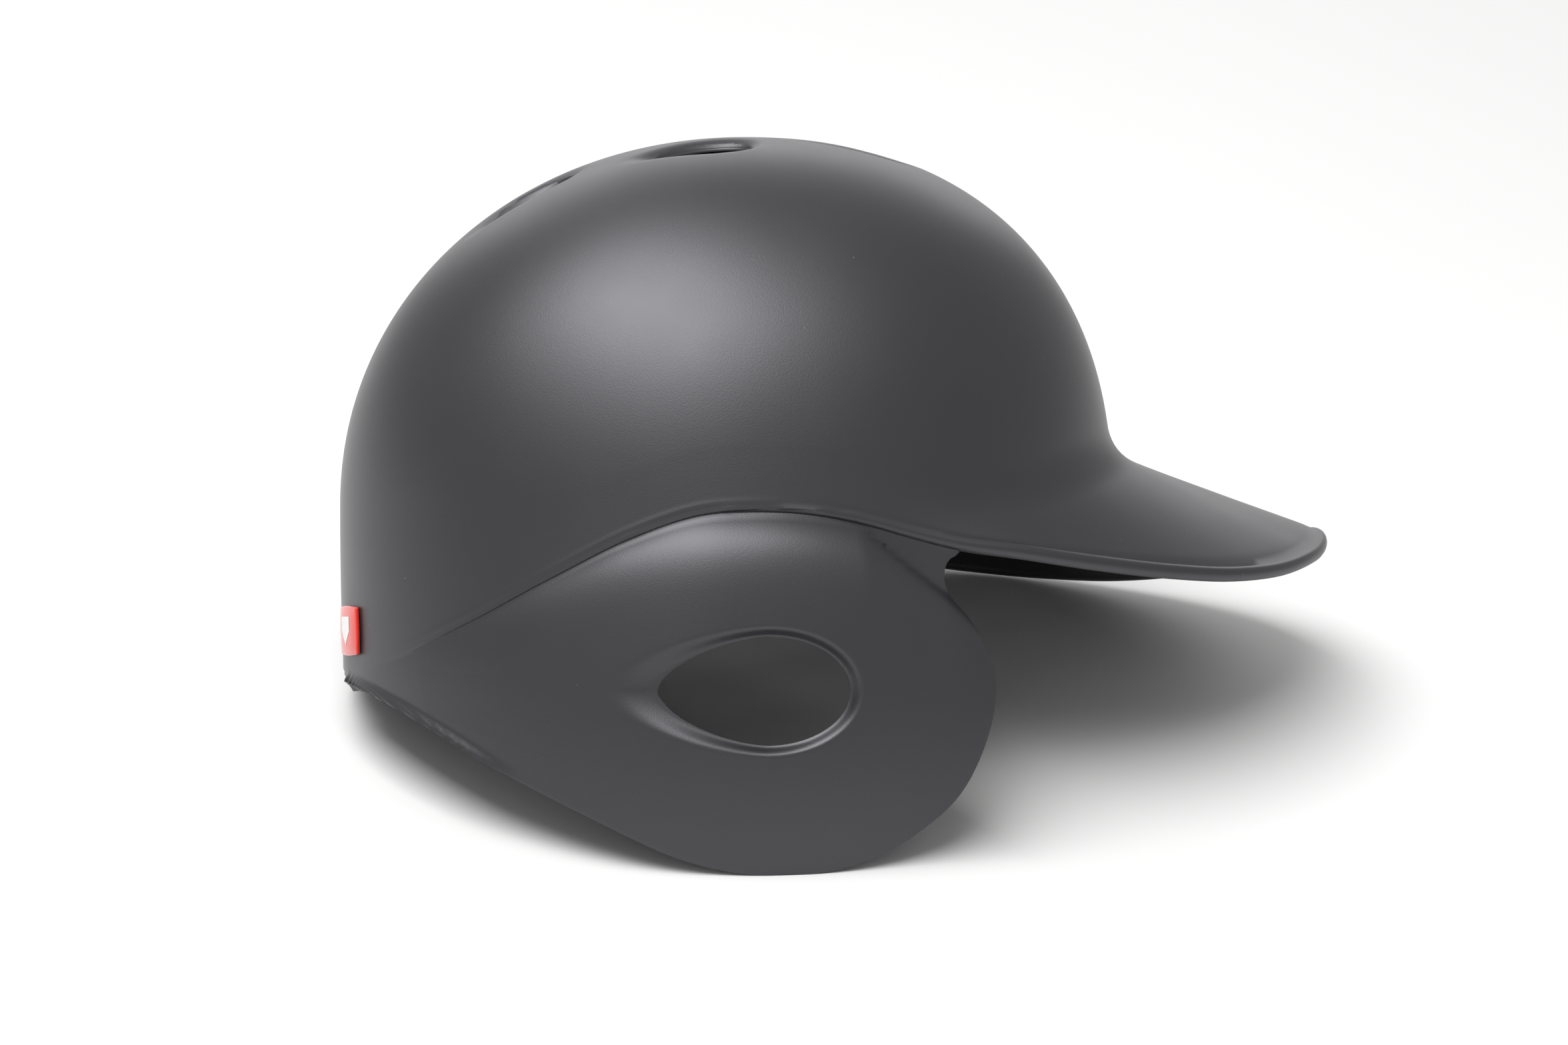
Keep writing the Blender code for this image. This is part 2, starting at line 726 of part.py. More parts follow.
def build_flap_pads(parts, parent, material):
    depth = WALL + FLAP_PAD_GAP
    turns = np.linspace(0.0, 2 * math.pi, EAR_PAD_SEGMENTS, endpoint=False)
    rings = [[ear_curve(margin, turn) for turn in turns] for margin in EAR_PAD_MARGINS]
    rings = [[flap_point(run, EAR_Z + z, depth) for run, z in ring] for ring in rings]
    ear = add_object("ear_pad", sheet(rings, True), parts, parent, material)
    add_solidify(ear, FLAP_PAD_THICKNESS)
    rows = []
    for b in np.linspace(1.0, -1.0, JAW_PAD_ROWS):
        row = []
        for a in np.linspace(-1.0, 1.0, JAW_PAD_COLUMNS):
            run = JAW_PAD_CENTRE[0] + JAW_PAD_HALF_SIZE[0] * a * math.sqrt(1 - b * b / 2)
            z = JAW_PAD_CENTRE[1] + JAW_PAD_HALF_SIZE[1] * b * math.sqrt(1 - a * a / 2)
            row.append(flap_point(run, z, depth))
        rows.append(row)
    jaw = add_object("jaw_pad", sheet(rows, False), parts, parent, material)
    add_solidify(jaw, FLAP_PAD_THICKNESS)


def build_sticker(parts, parent, red, white):
    """Thick sticker on the rear wall with a home-plate outline over it."""
    depth = -(STICKER_GAP + STICKER_THICKNESS)
    middle = math.pi + STICKER_TURN
    wall = along(dome_profile(middle))[DOME_SAMPLES - 1]
    rows = []
    for b in np.linspace(1.0, -1.0, STICKER_ROWS):
        row = []
        for a in np.linspace(-1.0, 1.0, STICKER_COLUMNS):
            turn = STICKER_HALF_TURN * a * math.sqrt(1 - STICKER_ROUNDING * b * b)
            height = STICKER_Z + STICKER_HALF_HEIGHT * b * math.sqrt(1 - STICKER_ROUNDING * a * a)
            row.append(dome_spot(middle + turn, 1 - height / wall, depth)[0])
        rows.append(row)
    sticker = add_object("rear_decal", sheet(rows, False), parts, parent, red)
    add_solidify(sticker, STICKER_THICKNESS)
    curve = bpy.data.curves.new("decal_mark", "CURVE")
    curve.dimensions = "2D"
    curve.fill_mode = "BOTH"
    curve.extrude = MARK_THICKNESS / 2
    w = MARK_HALF_WIDTH
    spline = curve.splines.new("POLY")
    corners = ((-w, w), (-w, 0), (0, -w), (w, 0), (w, w))
    spline.points.add(len(corners) - 1)
    for point, (x, y) in zip(spline.points, corners):
        point.co = (x, y, 0.0, 1.0)
    spline.use_cyclic_u = True
    curve.materials.append(white)
    mark = bpy.data.objects.new("decal_mark", curve)
    mark.parent = parent
    over = depth - MARK_GAP - MARK_THICKNESS / 2
    mark.location = dome_spot(middle, 1 - STICKER_Z / wall, over)[0]
    mark.rotation_euler = (math.pi / 2, 0.0, STICKER_TURN - math.pi / 2)
    parts.objects.link(mark)


def main():
    clear_scene()
    parts = parts_collection("batting_helmet")
    cutters = parts_collection("cutters")
    rest = bpy.data.objects.new("rest_attitude", None)
    rest.rotation_euler = Euler(REST_ANGLES)
    rest.location = REST_PLACE
    parts.objects.link(rest)
    vent_cutters = build_shell(parts, cutters, rest, make_material("shell_black", SHELL_COLOUR, 0.45))
    build_liner(parts, rest, vent_cutters, make_material("foam_grey", FOAM_COLOUR, 0.9))
    fabric = make_material("pad_fabric", FABRIC_COLOUR, 0.95)
    build_pads(parts, rest, fabric)
    build_flap_pads(parts, rest, fabric)
    build_dots(parts, rest, make_material("hook_nylon", HOOK_COLOUR, 0.8))
    red = make_material("sticker_red", STICKER_COLOUR, 0.25)
    build_sticker(parts, rest, red, make_material("mark_white", MARK_COLOUR, 0.3))


main()
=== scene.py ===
"""Looks of a batting helmet with one ear flap: fine shell, foam liner, stuffed pads and studio.

Lengths are metres. The shell is modelled upright, X forward, Y to the wearer's left, Z up, and
then laid on the floor in its resting attitude, rolled onto its bare left side.
"""
import math

import bmesh
import bpy
import numpy as np
from mathutils import Euler, Matrix, Quaternion, Vector


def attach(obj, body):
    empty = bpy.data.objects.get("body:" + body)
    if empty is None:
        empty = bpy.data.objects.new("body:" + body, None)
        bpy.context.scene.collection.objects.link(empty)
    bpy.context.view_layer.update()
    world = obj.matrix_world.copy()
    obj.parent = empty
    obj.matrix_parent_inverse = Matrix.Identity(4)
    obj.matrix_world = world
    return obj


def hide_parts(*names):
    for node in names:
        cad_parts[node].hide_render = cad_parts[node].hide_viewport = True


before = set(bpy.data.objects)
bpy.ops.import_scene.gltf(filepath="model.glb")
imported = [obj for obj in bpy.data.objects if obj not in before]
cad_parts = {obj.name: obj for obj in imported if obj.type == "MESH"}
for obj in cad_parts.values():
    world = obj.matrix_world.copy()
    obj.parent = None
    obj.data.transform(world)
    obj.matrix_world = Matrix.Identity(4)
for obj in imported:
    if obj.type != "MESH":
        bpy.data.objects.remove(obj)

# Dome
WALL = 0.0035
DOME_CENTRE_X = 0.005
FRONT_LENGTH = 0.1108
REAR_LENGTH = 0.122
HALF_WIDTH = 0.098
CROWN_HEIGHT = 0.1107
PLAN_EXPONENT = 2.1
FRONT_EXPONENT = 2.32
SIDE_EXPONENT = 2.2
REAR_EXPONENT = 2.05
WALL_TAPER = 3.6  # share of the width lost per square metre of depth under the widest section
WALL_DEPTH = 0.115

# Lower edge of the dome and brim, as (degrees from straight ahead, height)
EDGE_LINE = (
    (0, -0.0105),
    (12, -0.0175),
    (20, -0.0220),
    (27, -0.0236),
    (35, -0.0230),
    (45, -0.0206),
    (55, -0.0174),
    (64, -0.0148),
    (72, -0.0110),
    (78, -0.0081),
    (89, -0.0048),
    (99, -0.0043),
    (106, -0.0052),
    (118, -0.0121),
    (130, -0.0230),
    (144, -0.0362),
    (158, -0.0460),
    (168, -0.0490),
    (180, -0.0505),
)

# Where the dome stops and the brim starts, in the same terms
ROOT_LINE = (
    (0, 0.0165),
    (18, 0.0150),
    (35, 0.0095),
    (50, 0.0030),
    (64, 0.0010),
    (76, 0.0060),
    (89, 0.0100),
    (99, 0.0105),
    (106, 0.0096),
    (118, 0.0027),
    (130, -0.0082),
    (144, -0.0214),
    (158, -0.0312),
    (180, -0.0357),
)

# Brim
BRIM_CENTRE_X = 0.042
BRIM_LENGTH = 0.143
BRIM_HALF_WIDTH = 0.095
BRIM_BLEND = 0.003
BRIM_CROWN = 0.035  # rise of the brim's middle as a share of its width
ROOT_FILLET = 0.009
LIP_HEIGHT = 0.003
LIP_FILLET = 0.002

# Bead on the free edge, by degrees from straight ahead: how far it stands out of the wall
BEAD = ((0, 0.00035), (70, 0.00035), (90, 0.0), (180, 0.0))
BEAD_ARC = math.radians(125)
BEAD_STEPS = 12
GROOVE_DEPTH = 0.00030
GROOVE_WIDTH = 0.0006
GROOVE_PLACE = 0.0019
BEAD_REACH = 0.0016  # how far above the rounded end the bead starts

# Slivers of flash left on the right-hand edge by the mould, as (first and last degrees, height)
FLASH = (
    (60, 67, 0.00022),
    (80, 83, 0.00030),
    (86, 94, 0.00028),
    (101, 103, 0.00022),
    (117, 118.5, 0.0003),
)
FLASH_WIDTH = 0.0008
FLASH_FADE = 0.8  # degrees

# Ear flap: bulge of its outer face over the wall line
BULGE = 0.0085
BULGE_RISE = 0.008
BULGE_FALL_START = 0.050
BULGE_FALL_END = 0.106
BULGE_LEAST = 0.10  # share of the bulge left at the nape
BULGE_NAPE = (-0.115, 0.100)  # x where it starts to grow, and over what length
BULGE_NOSE = (0.045, 0.035)  # x where it starts to fade in front, and over what length
BULGE_NOSE_LOSS = 0.45
TUCK_HEIGHT = 0.005
TUCK_DEPTH = ((0, 0.0006), (100, 0.0006), (125, 0.00025), (180, 0.0001))

# Upper limit of the bulge in front of the crease, as (x, z)
BULGE_FRONT = ((0.022, -0.0075), (0.0324, -0.0149), (0.0452, -0.0244), (0.070, -0.046))

# Lower outline of the flap from the nape to the notch under the brim, as (x, z)
FLAP_OUTLINE = (
    (-0.1165, -0.0525),
    (-0.1072, -0.0577),
    (-0.0953, -0.0650),
    (-0.0770, -0.0767),
    (-0.0541, -0.0890),
    (-0.0326, -0.0997),
    (-0.0150, -0.1045),
    (0.0000, -0.1056),
    (0.0114, -0.1049),
    (0.0226, -0.1024),
    (0.0337, -0.0974),
    (0.0446, -0.0888),
    (0.0511, -0.0800),
    (0.0559, -0.0667),
    (0.0580, -0.0535),
    (0.0562, -0.0425),
    (0.0528, -0.0336),
    (0.0485, -0.0275),
    (0.0466, -0.0225),
    (0.0475, -0.0175),
    (0.0510, -0.0152),
)
FLAP_CORNER = 11  # outline point where the lower border ends and the front border starts
OUTLINE_STEPS = 12

# Rolled lip on the flap's lower border near the nape
NAPE_LIP = 0.0014
NAPE_LIP_WIDTH = 0.0034
NAPE_LIP_FADE = (-0.088, -0.070)

# Ear hole: an egg with its blunt end forward, measured from its highest point
EAR_X = -0.005
EAR_Z = -0.0536
EAR_FRONT = 0.0225
EAR_REAR = 0.030
EAR_HALF_HEIGHT = 0.01525
EAR_REAR_EXPONENT = 1.6
RECESS_DEPTH = 0.003
RECESS_FRONT = 0.0026
RECESS_REAR = 0.0145
RECESS_SIDES = 0.0030
EAR_RINGS = (0.0, 0.02, 0.04, 0.065, 0.09, 0.12, 0.15, 0.19, 0.23, 0.28, 0.34, 0.42, 0.52, 0.66, 0.82, 1.0)

# Vents: teardrops in two rows of three, each in a dimple with a longer tail to the rear
VENTS = ((-0.062, 0.0145), (-0.013, 0.0300), (0.038, 0.0185))  # x, and y to either side
VENT_LENGTH = 0.028
VENT_WIDTH = 0.013
VENT_POINT = 0.35  # how much slimmer the rear end is
VENT_SEGMENTS = 44
DIMPLE_DEPTH = 0.0024
DIMPLE_FRONT = 0.005
DIMPLE_REAR = 0.014
DIMPLE_SIDES = 0.005
VENT_LIP = (
    (0.0030, -0.0040),
    (0.0008, 0.0),
    (0.00045, 0.00008),
    (0.0002, 0.0003),
    (0.0, 0.0008),
    (0.0, 0.008),
)  # margin round the vent and depth, down the cutter

# Foam blocks and stuffed pads
FOAM_VOXEL = 0.0013
FOAM_SMOOTHING = 10
PAD_VOXEL = 0.0022
PAD_SHRINK = 0.0006
PAD_PRESSURE = 4.0
PAD_SWELL_LIMIT = 0.0016
PAD_FRAMES = 20
PAD_CLOTH_MASS = 0.15
PAD_CLOTH_STIFFNESS = 25.0
PAD_CLOTH_BENDING = 1.0

# Rear sticker and its home-plate mark
STICKER_HALF_HEIGHT = 0.0074
STICKER_TURN = math.radians(7.8)  # round from the rear centre towards the flap
STICKER_HALF_TURN = math.radians(4.4)
STICKER_Z = -0.0375
STICKER_THICKNESS = 0.0012
STICKER_DOME = 0.0005
STICKER_GAP = 0.0002
STICKER_ROUNDING = 0.12
STICKER_EDGE_RADIUS = 0.0004
MARK_HALF_WIDTH = 0.0042
MARK_RISE = 0.00006
MARK_STEPS = 13

# Resting attitude
REST_ANGLES = (math.radians(-24.25), math.radians(1.76), 0.0)
REST_PLACE = (-0.0323, 0.0132, 0.0576)

# Mesh density
COLUMNS = 240
DOME_ROWS = 120
FILLET_STEPS = 10
BRIM_ROWS = 16
INNER_STEP = 3
DOME_SAMPLES = 180
WALL_SAMPLES = 60
SIDE_SAMPLES = 300
CREASE_SAMPLES = 160
LIP_STEPS = 8
STICKER_STEPS = 25
OFFSET_STEP = 0.0004
NORMAL_STEP = 0.02
VENT_STEP = 0.004
SHARP_ANGLE = math.radians(38)
BEVEL_ANGLE = math.radians(60)
FLAP_COLUMNS = 144
FLAP_ROWS = 48
EAR_BLOCK = (10, 38, 36, 126)  # rows and columns of the flap's grid that the ear hole's rings replace
FLAP_EDGE_RADIUS = 0.0011

# Camera
CAMERA_PLACE = (-0.22259, -1.16111, 0.56897)
CAMERA_TARGET = (-0.01528, 0.01322, 0.05131)
CAMERA_ROLL = 2.494
CAMERA_LENS = 98.38

# Finishes
PAINT_COLOUR = (0.006, 0.006, 0.0075)
PAINT_TINT = (0.95, 0.94, 1.0, 1.0)
PAINT_ROUGHNESS = (0.41, 0.46)
PAINT_SPECULAR = 1.0
PAINT_SHEEN = 0.12
PAINT_SHEEN_ROUGHNESS = 0.25
DUST_COLOUR = (0.18, 0.18, 0.18)
DUST_SPACING = 100.0  # cells per metre
DUST_SIZE = 0.02  # in cells
BEADS_PER_METRE = 330.0
FOAM_COLOURS = ((0.018, 0.018, 0.019), (0.05, 0.05, 0.052))
KNIT_COLOURS = ((0.012, 0.012, 0.013), (0.030, 0.030, 0.033))
RIBS_PER_METRE = 420.0
RIB_DISTORTION = 0.6
RIB_DETAIL_SCALE = 2.0
PILE_COLOURS = ((0.012, 0.012, 0.012), (0.055, 0.055, 0.055))
VINYL_COLOURS = ((0.62, 0.022, 0.012), (0.74, 0.036, 0.020))
PRINT_COLOURS = ((0.74, 0.74, 0.73), (0.84, 0.84, 0.83))
FLOOR_COLOURS = ((0.755, 0.755, 0.752), (0.775, 0.775, 0.772))

# Studio
FLOOR_SIZE = 16.0
LIGHTS = {
    "key_softbox": {"place": (-0.58, -0.34, 1.80), "size": (1.90, 1.15), "power": 44.0},
    "rear_softbox": {"place": (0.30, 2.60, 0.90), "size": (3.0, 1.4), "power": 18.0},
}
LIGHT_TARGET = (0.0, 0.0, 0.08)
WORLD_STRENGTH = 0.50


def smooth_step(value):
    value = np.clip(value, 0.0, 1.0)
    return value * value * (3.0 - 2.0 * value)


def read_line(points, at):
    """Smooth curve through (position, value) points, level at both ends, read at some positions."""
    places, values = np.array(points, dtype=float).T
    slopes = np.gradient(values, places)
    slopes[0] = slopes[-1] = 0.0
    at = np.clip(at, places[0], places[-1])
    index = np.clip(np.searchsorted(places, at) - 1, 0, len(places) - 2)
    span = places[index + 1] - places[index]
    t = (at - places[index]) / span
    start = values[index] * (2 * t**3 - 3 * t**2 + 1) + slopes[index] * span * (t**3 - 2 * t**2 + t)
    end = values[index + 1] * (3 * t**2 - 2 * t**3) + slopes[index + 1] * span * (t**3 - t**2)
    return start + end


def smooth_path(points, steps):
    """Catmull-Rom curve through plane points, as a dense line."""
    points = np.array(points, dtype=float)
    padded = np.vstack((2 * points[0] - points[1], points, 2 * points[-1] - points[-2]))
    t = np.linspace(0.0, 1.0, steps, endpoint=False)[:, None]
    line = []
    for a, b, c, d in zip(padded, padded[1:], padded[2:], padded[3:]):
        bend = (2 * a - 5 * b + 4 * c - d) * t**2 + (3 * b - a - 3 * c + d) * t**3
        line.append(0.5 * (2 * b + (c - a) * t + bend))
    line.append(points[-1:])
    return np.vstack(line)


def along(line):
    """Distance run along a line of points."""
    return np.concatenate(([0.0], np.cumsum(np.linalg.norm(np.diff(line, axis=0), axis=1))))


def resample(line, distances):
    run = along(line)
    return np.column_stack([np.interp(distances, run, line[:, k]) for k in range(line.shape[1])])


def wall_radius(angle):
    """Distance from the dome's axis to the wall at the widest section."""
    length = np.where(np.cos(angle) > 0, FRONT_LENGTH, REAR_LENGTH)
    forward = np.abs(np.cos(angle) / length) ** PLAN_EXPONENT
    sideways = np.abs(np.sin(angle) / HALF_WIDTH) ** PLAN_EXPONENT
    return (forward + sideways) ** (-1.0 / PLAN_EXPONENT)


def brim_radius(angle):
    """Distance from the dome's axis to the brim's outline, an ellipse about its own centre."""
    shift = DOME_CENTRE_X - BRIM_CENTRE_X
    a = (np.cos(angle) / BRIM_LENGTH) ** 2 + (np.sin(angle) / BRIM_HALF_WIDTH) ** 2
    b = 2.0 * shift * np.cos(angle) / BRIM_LENGTH**2
    c = (shift / BRIM_LENGTH) ** 2 - 1.0
    return (-b + np.sqrt(b * b - 4.0 * a * c)) / (2.0 * a)


def edge_radius(angle):
    """Distance to the lower edge: the brim's outline in front, running smoothly into the wall."""
    wall = wall_radius(angle)
    brim = brim_radius(angle)
    return 0.5 * (wall + brim + np.sqrt((wall - brim) ** 2 + BRIM_BLEND**2))


def profile_exponent(angle):
    end = FRONT_EXPONENT if math.cos(angle) > 0 else REAR_EXPONENT
    return SIDE_EXPONENT + (end - SIDE_EXPONENT) * math.cos(angle) ** 2


def dome_profile(angle):
    """Radius and height down the dome and the wall under it, crown first, as a dense line."""
    reach = float(wall_radius(angle))
    exponent = profile_exponent(angle)
    tilt = np.linspace(0.0, math.pi / 2, DOME_SAMPLES)
    swell = (np.sin(tilt) / reach) ** exponent + (np.cos(tilt) / CROWN_HEIGHT) ** exponent
    distance = swell ** (-1.0 / exponent)
    drop = np.linspace(0.0, WALL_DEPTH, WALL_SAMPLES)[1:]
    radius = np.concatenate((distance * np.sin(tilt), reach * (1 - WALL_TAPER * drop**2)))
    height = np.concatenate((distance * np.cos(tilt), -drop))
    return np.column_stack((radius, height))


def round_corner(before, corner, after, size, steps):
    """Points that round a corner between two neighbouring points."""
    start = corner + (before - corner) * min(1.0, size / np.linalg.norm(before - corner))
    end = corner + (after - corner) * min(1.0, size / np.linalg.norm(after - corner))
    t = np.linspace(0.0, 1.0, steps)[:, None]
    return start * (1 - t) ** 2 + corner * 2 * t * (1 - t) + end * t**2


def plain_profile(angle):
    """Dense line of radius and height down the outer face, and where its rounded end starts."""
    degrees = abs(math.degrees(math.remainder(angle, 2 * math.pi)))
    root_height = float(read_line(ROOT_LINE, degrees))
    edge_height = float(read_line(EDGE_LINE, degrees))
    dome = dome_profile(angle)
    root = np.array([np.interp(-root_height, -dome[:, 1], dome[:, 0]), root_height])
    dome = np.vstack((dome[dome[:, 1] > root_height + 1e-6], root))
    reach = float(edge_radius(angle))
    if degrees > 90:
        reach *= 1 - WALL_TAPER * edge_height**2
    shoulder = np.array([reach, edge_height + LIP_HEIGHT])
    edge = np.array([reach, edge_height])
    width = np.linalg.norm(shoulder - root)
    fillet = min(ROOT_FILLET, 0.4 * width)
    run = along(dome)
    above = resample(dome, [run[-1] - fillet])[0]
    rise = BRIM_CROWN * width * math.sin(angle) ** 2
    middle = 0.5 * (root + shoulder) + np.array([0.0, rise])
    corner = round_corner(above, root, middle, fillet, 4 * FILLET_STEPS)
    lip = round_corner(middle, shoulder, edge, min(LIP_FILLET, 0.3 * width), LIP_STEPS)
    line = np.vstack((dome[run < run[-1] - fillet - 1e-6], corner, lip, edge))
    level = (shoulder[0] - root[0]) / width
    end = along(line)[-1] - LIP_HEIGHT * level - WALL / 2
    return line, run[-1] - fillet, end


def offset_rows(line, distances, depths):
    """Points of a profile moved outwards, square to it."""
    forward = resample(line, distances + OFFSET_STEP) - resample(line, distances - OFFSET_STEP)
    forward /= np.linalg.norm(forward, axis=1)[:, None]
    outward = np.column_stack((-forward[:, 1], forward[:, 0]))
    return resample(line, distances) + outward * depths[:, None]


def edge_relief(degrees, right_side, from_end):
    """Groove above the bead and slivers of flash, by distance from the rounded end."""
    strength = float(read_line(BEAD, degrees)) / BEAD[0][1]
    relief = -GROOVE_DEPTH * strength * np.exp(-(((from_end - GROOVE_PLACE) / GROOVE_WIDTH) ** 2))
    if right_side:
        for first, last, height in FLASH:
            inside = min(degrees - first, last - degrees)
            fade = float(smooth_step(inside / FLASH_FADE + 0.5))
            relief += height * fade * np.exp(-((from_end / FLASH_WIDTH) ** 2))
    return relief


def closed_profile(angle):
    """Rows of radius and height down the outer face, round the edge and up the inner face."""
    line, corner, end = plain_profile(angle)
    degrees = abs(math.degrees(math.remainder(angle, 2 * math.pi)))
    bead = float(read_line(BEAD, degrees))
    last = end - BEAD_REACH * bead / BEAD[0][1]
    fillet_end = min(corner + 2 * ROOT_FILLET, 0.5 * (corner + last))
    dome = np.linspace(0.0, corner, DOME_ROWS, endpoint=False)
    fillet = np.linspace(corner, fillet_end, FILLET_STEPS, endpoint=False)
    brim = np.linspace(fillet_end, last, BRIM_ROWS)
    distances = np.concatenate((dome, fillet, brim))
    right_side = math.sin(angle) < 0
    outer = offset_rows(line, distances, edge_relief(degrees, right_side, end - distances))
    centre = offset_rows(line, np.array([end]), np.array([-WALL / 2]))[0]
    tip = offset_rows(line, np.array([end]), np.array([0.0]))[0] - centre
    outward = tip / np.linalg.norm(tip)
    forward = np.array([outward[1], -outward[0]])
    arc = math.pi / 2 + (BEAD_ARC - math.pi / 2) * bead / BEAD[0][1]
    turns = np.linspace(arc, -arc, BEAD_STEPS + 1)[1:-1]
    size = WALL / 2 + bead
    rim = centre + size * (np.outer(np.cos(turns), forward) + np.outer(np.sin(turns), outward))
    back = np.concatenate((distances[:DOME_ROWS:INNER_STEP], distances[DOME_ROWS:]))[::-1]
    inner = offset_rows(line, back, np.full(len(back), -WALL))
    inner[-1, 0] = 0.0
    return np.vstack((outer, rim, inner))


def to_space(angle, radius, height):
    return Vector((DOME_CENTRE_X + radius * math.cos(angle), radius * math.sin(angle), height))


def add_object(name, bm, material=None):
    mesh = bpy.data.meshes.new(name)
    bm.to_mesh(mesh)
    bm.free()
    mesh.shade_smooth()
    ob = bpy.data.objects.new(name, mesh)
    bpy.context.scene.collection.objects.link(ob)
    if material:
        mesh.materials.append(material)
    return ob


def add_grid(bm, points, closed, hole=None):
    """Sheet over a table of points, rows by columns, facing away from the rows' left-hand side.

    The columns join round when closed. A hole is (first row, last row, first column, last column).
    """
    rows = len(points) - 1
    columns = len(points[0]) - (0 if closed else 1)
    made = bmesh.ops.create_grid(bm, x_segments=columns, y_segments=rows, size=0.5)["verts"]
    place = {vert: (round((0.5 - vert.co.y) * rows), round((vert.co.x + 0.5) * columns)) for vert in made}
    if hole:
        faces = {face for vert in made for face in vert.link_faces}
        inside = [face for face in faces if in_hole([place[vert] for vert in face.verts], hole)]
        bmesh.ops.delete(bm, geom=inside, context="FACES")
    for vert, (row, column) in place.items():
        if vert.is_valid:
            vert.co = points[row][column % len(points[0])]


def in_hole(places, hole):
    """Whether a cell, given by its corners' rows and columns, lies in a hole of the grid."""
    rows = [row for row, _ in places]
    columns = [column for _, column in places]
    within_rows = min(rows) >= hole[0] and max(rows) <= hole[1]
    return within_rows and min(columns) >= hole[2] and max(columns) <= hole[3]


def sheet(points, closed):
    bm = bmesh.new()
    add_grid(bm, points, closed)
    bmesh.ops.remove_doubles(bm, verts=bm.verts, dist=1e-6)
    return bm


def apply_modifiers(ob):
    """Gives an object the mesh that its modifiers make."""
    bpy.context.view_layer.update()
    made = ob.evaluated_get(bpy.context.evaluated_depsgraph_get())
    mesh = bpy.data.meshes.new_from_object(made)
    ob.modifiers.clear()
    ob.data = mesh
    return ob


def side_line():
    """Plan line of the flap's wall from the nape forward on the right side: angle, x and run."""
    angles = np.radians(np.linspace(180.0, 40.0, SIDE_SAMPLES))
    reach = edge_radius(angles)
    plan = np.column_stack((DOME_CENTRE_X + reach * np.cos(angles), -reach * np.sin(angles)))
    run = along(plan)
    zero = np.interp(EAR_X, plan[:, 0], run)
    return angles, plan[:, 0], run - zero


SIDE_ANGLES, SIDE_X, SIDE_RUN = side_line()
REST = Matrix.Translation(REST_PLACE) @ Euler(REST_ANGLES).to_matrix().to_4x4()


def bulge_limit(x):
    """Height of the crease, and of the bulge's upper limit in front of it."""
    degrees = np.degrees(np.interp(x, SIDE_X, SIDE_ANGLES))
    crease = read_line(EDGE_LINE, degrees)
    front = np.interp(x, *np.array(BULGE_FRONT).T)
    return np.where(x > BULGE_FRONT[0][0], np.minimum(front, crease), crease)


def flap_bulge(x, z):
    """How far the flap's outer face stands out from the wall line."""
    depth = np.maximum(0.0, bulge_limit(x) - z)
    rise = 1.0 - np.exp(-depth / BULGE_RISE)
    lower = np.clip((-z - BULGE_FALL_START) / (BULGE_FALL_END - BULGE_FALL_START), 0.0, 1.0)
    rear = BULGE_LEAST + (1.0 - BULGE_LEAST) * smooth_step((x - BULGE_NAPE[0]) / BULGE_NAPE[1])
    front = 1.0 - BULGE_NOSE_LOSS * smooth_step((x - BULGE_NOSE[0]) / BULGE_NOSE[1])
    return BULGE * rise * (1.0 - lower**2) * rear * front


def ear_curve(margin, turn):
    """Egg outline about the ear hole's highest point, grown outwards by a margin."""
    forward = math.cos(turn) > 0
    power = 1.0 if forward else 2.0 / EAR_REAR_EXPONENT
    reach = (EAR_FRONT if forward else EAR_REAR) + margin
    run = math.copysign(reach * abs(math.cos(turn)) ** power, math.cos(turn))
    rise = math.copysign((EAR_HALF_HEIGHT + margin) * abs(math.sin(turn)) ** power, math.sin(turn))
    return run, rise


def hollow(run, rise, inner, outer, exponent):
    """Share of a hollow's depth: 1 on and inside the inner outline, 0 outside the outer one."""
    at_inner = (abs(run) / inner[0]) ** exponent + (abs(rise) / inner[1]) ** exponent
    at_outer = (abs(run) / outer[0]) ** exponent + (abs(rise) / outer[1]) ** exponent
    inside = 1.0 - at_outer ** (1.0 / exponent)
    outside = at_inner ** (1.0 / exponent) - 1.0
    share = inside / (inside + max(outside, 0.0)) if inside > 0 else 0.0
    return float(smooth_step(share))


def recess_depth(run, z):
    """Depth of the hollow round the ear hole: a narrow step with a long ramp to the rear."""
    forward = run > 0
    inner = EAR_FRONT if forward else EAR_REAR
    outer = inner + (RECESS_FRONT if forward else RECESS_REAR)
    exponent = 2.0 if forward else EAR_REAR_EXPONENT
    heights = (EAR_HALF_HEIGHT, EAR_HALF_HEIGHT + RECESS_SIDES)
    return RECESS_DEPTH * hollow(run, z - EAR_Z, (inner, heights[0]), (outer, heights[1]), exponent)


def tuck_depth(run):
    """How far the flap's face lies under the dome's face at a run along the side."""
    degrees = math.degrees(np.interp(run, SIDE_RUN, SIDE_ANGLES))
    return float(read_line(TUCK_DEPTH, degrees))


def flap_point(run, z, lift=0.0):
    """Point on the flap's outer face, from its run along the side and its height."""
    angle = float(np.interp(run, SIDE_RUN, -SIDE_ANGLES))
    x = float(np.interp(run, SIDE_RUN, SIDE_X))
    reach = float(edge_radius(angle)) * (1 - WALL_TAPER * z * z) - tuck_depth(run)
    reach += float(flap_bulge(x, z)) - recess_depth(run, z) + lift
    return to_space(angle, reach, z)


def tuck_point(run):
    """Point inside the dome's wall, a little above its lower edge."""
    angle = float(np.interp(run, SIDE_RUN, -SIDE_ANGLES))
    line, _, _ = plain_profile(angle)
    above = resample(line, [along(line)[-1] - TUCK_HEIGHT])[0]
    depth = tuck_depth(run)
    return to_space(angle, above[0] - 2 * depth - 0.0004, above[1] - depth)


def run_from_x(x):
    return np.interp(x, SIDE_X, SIDE_RUN)


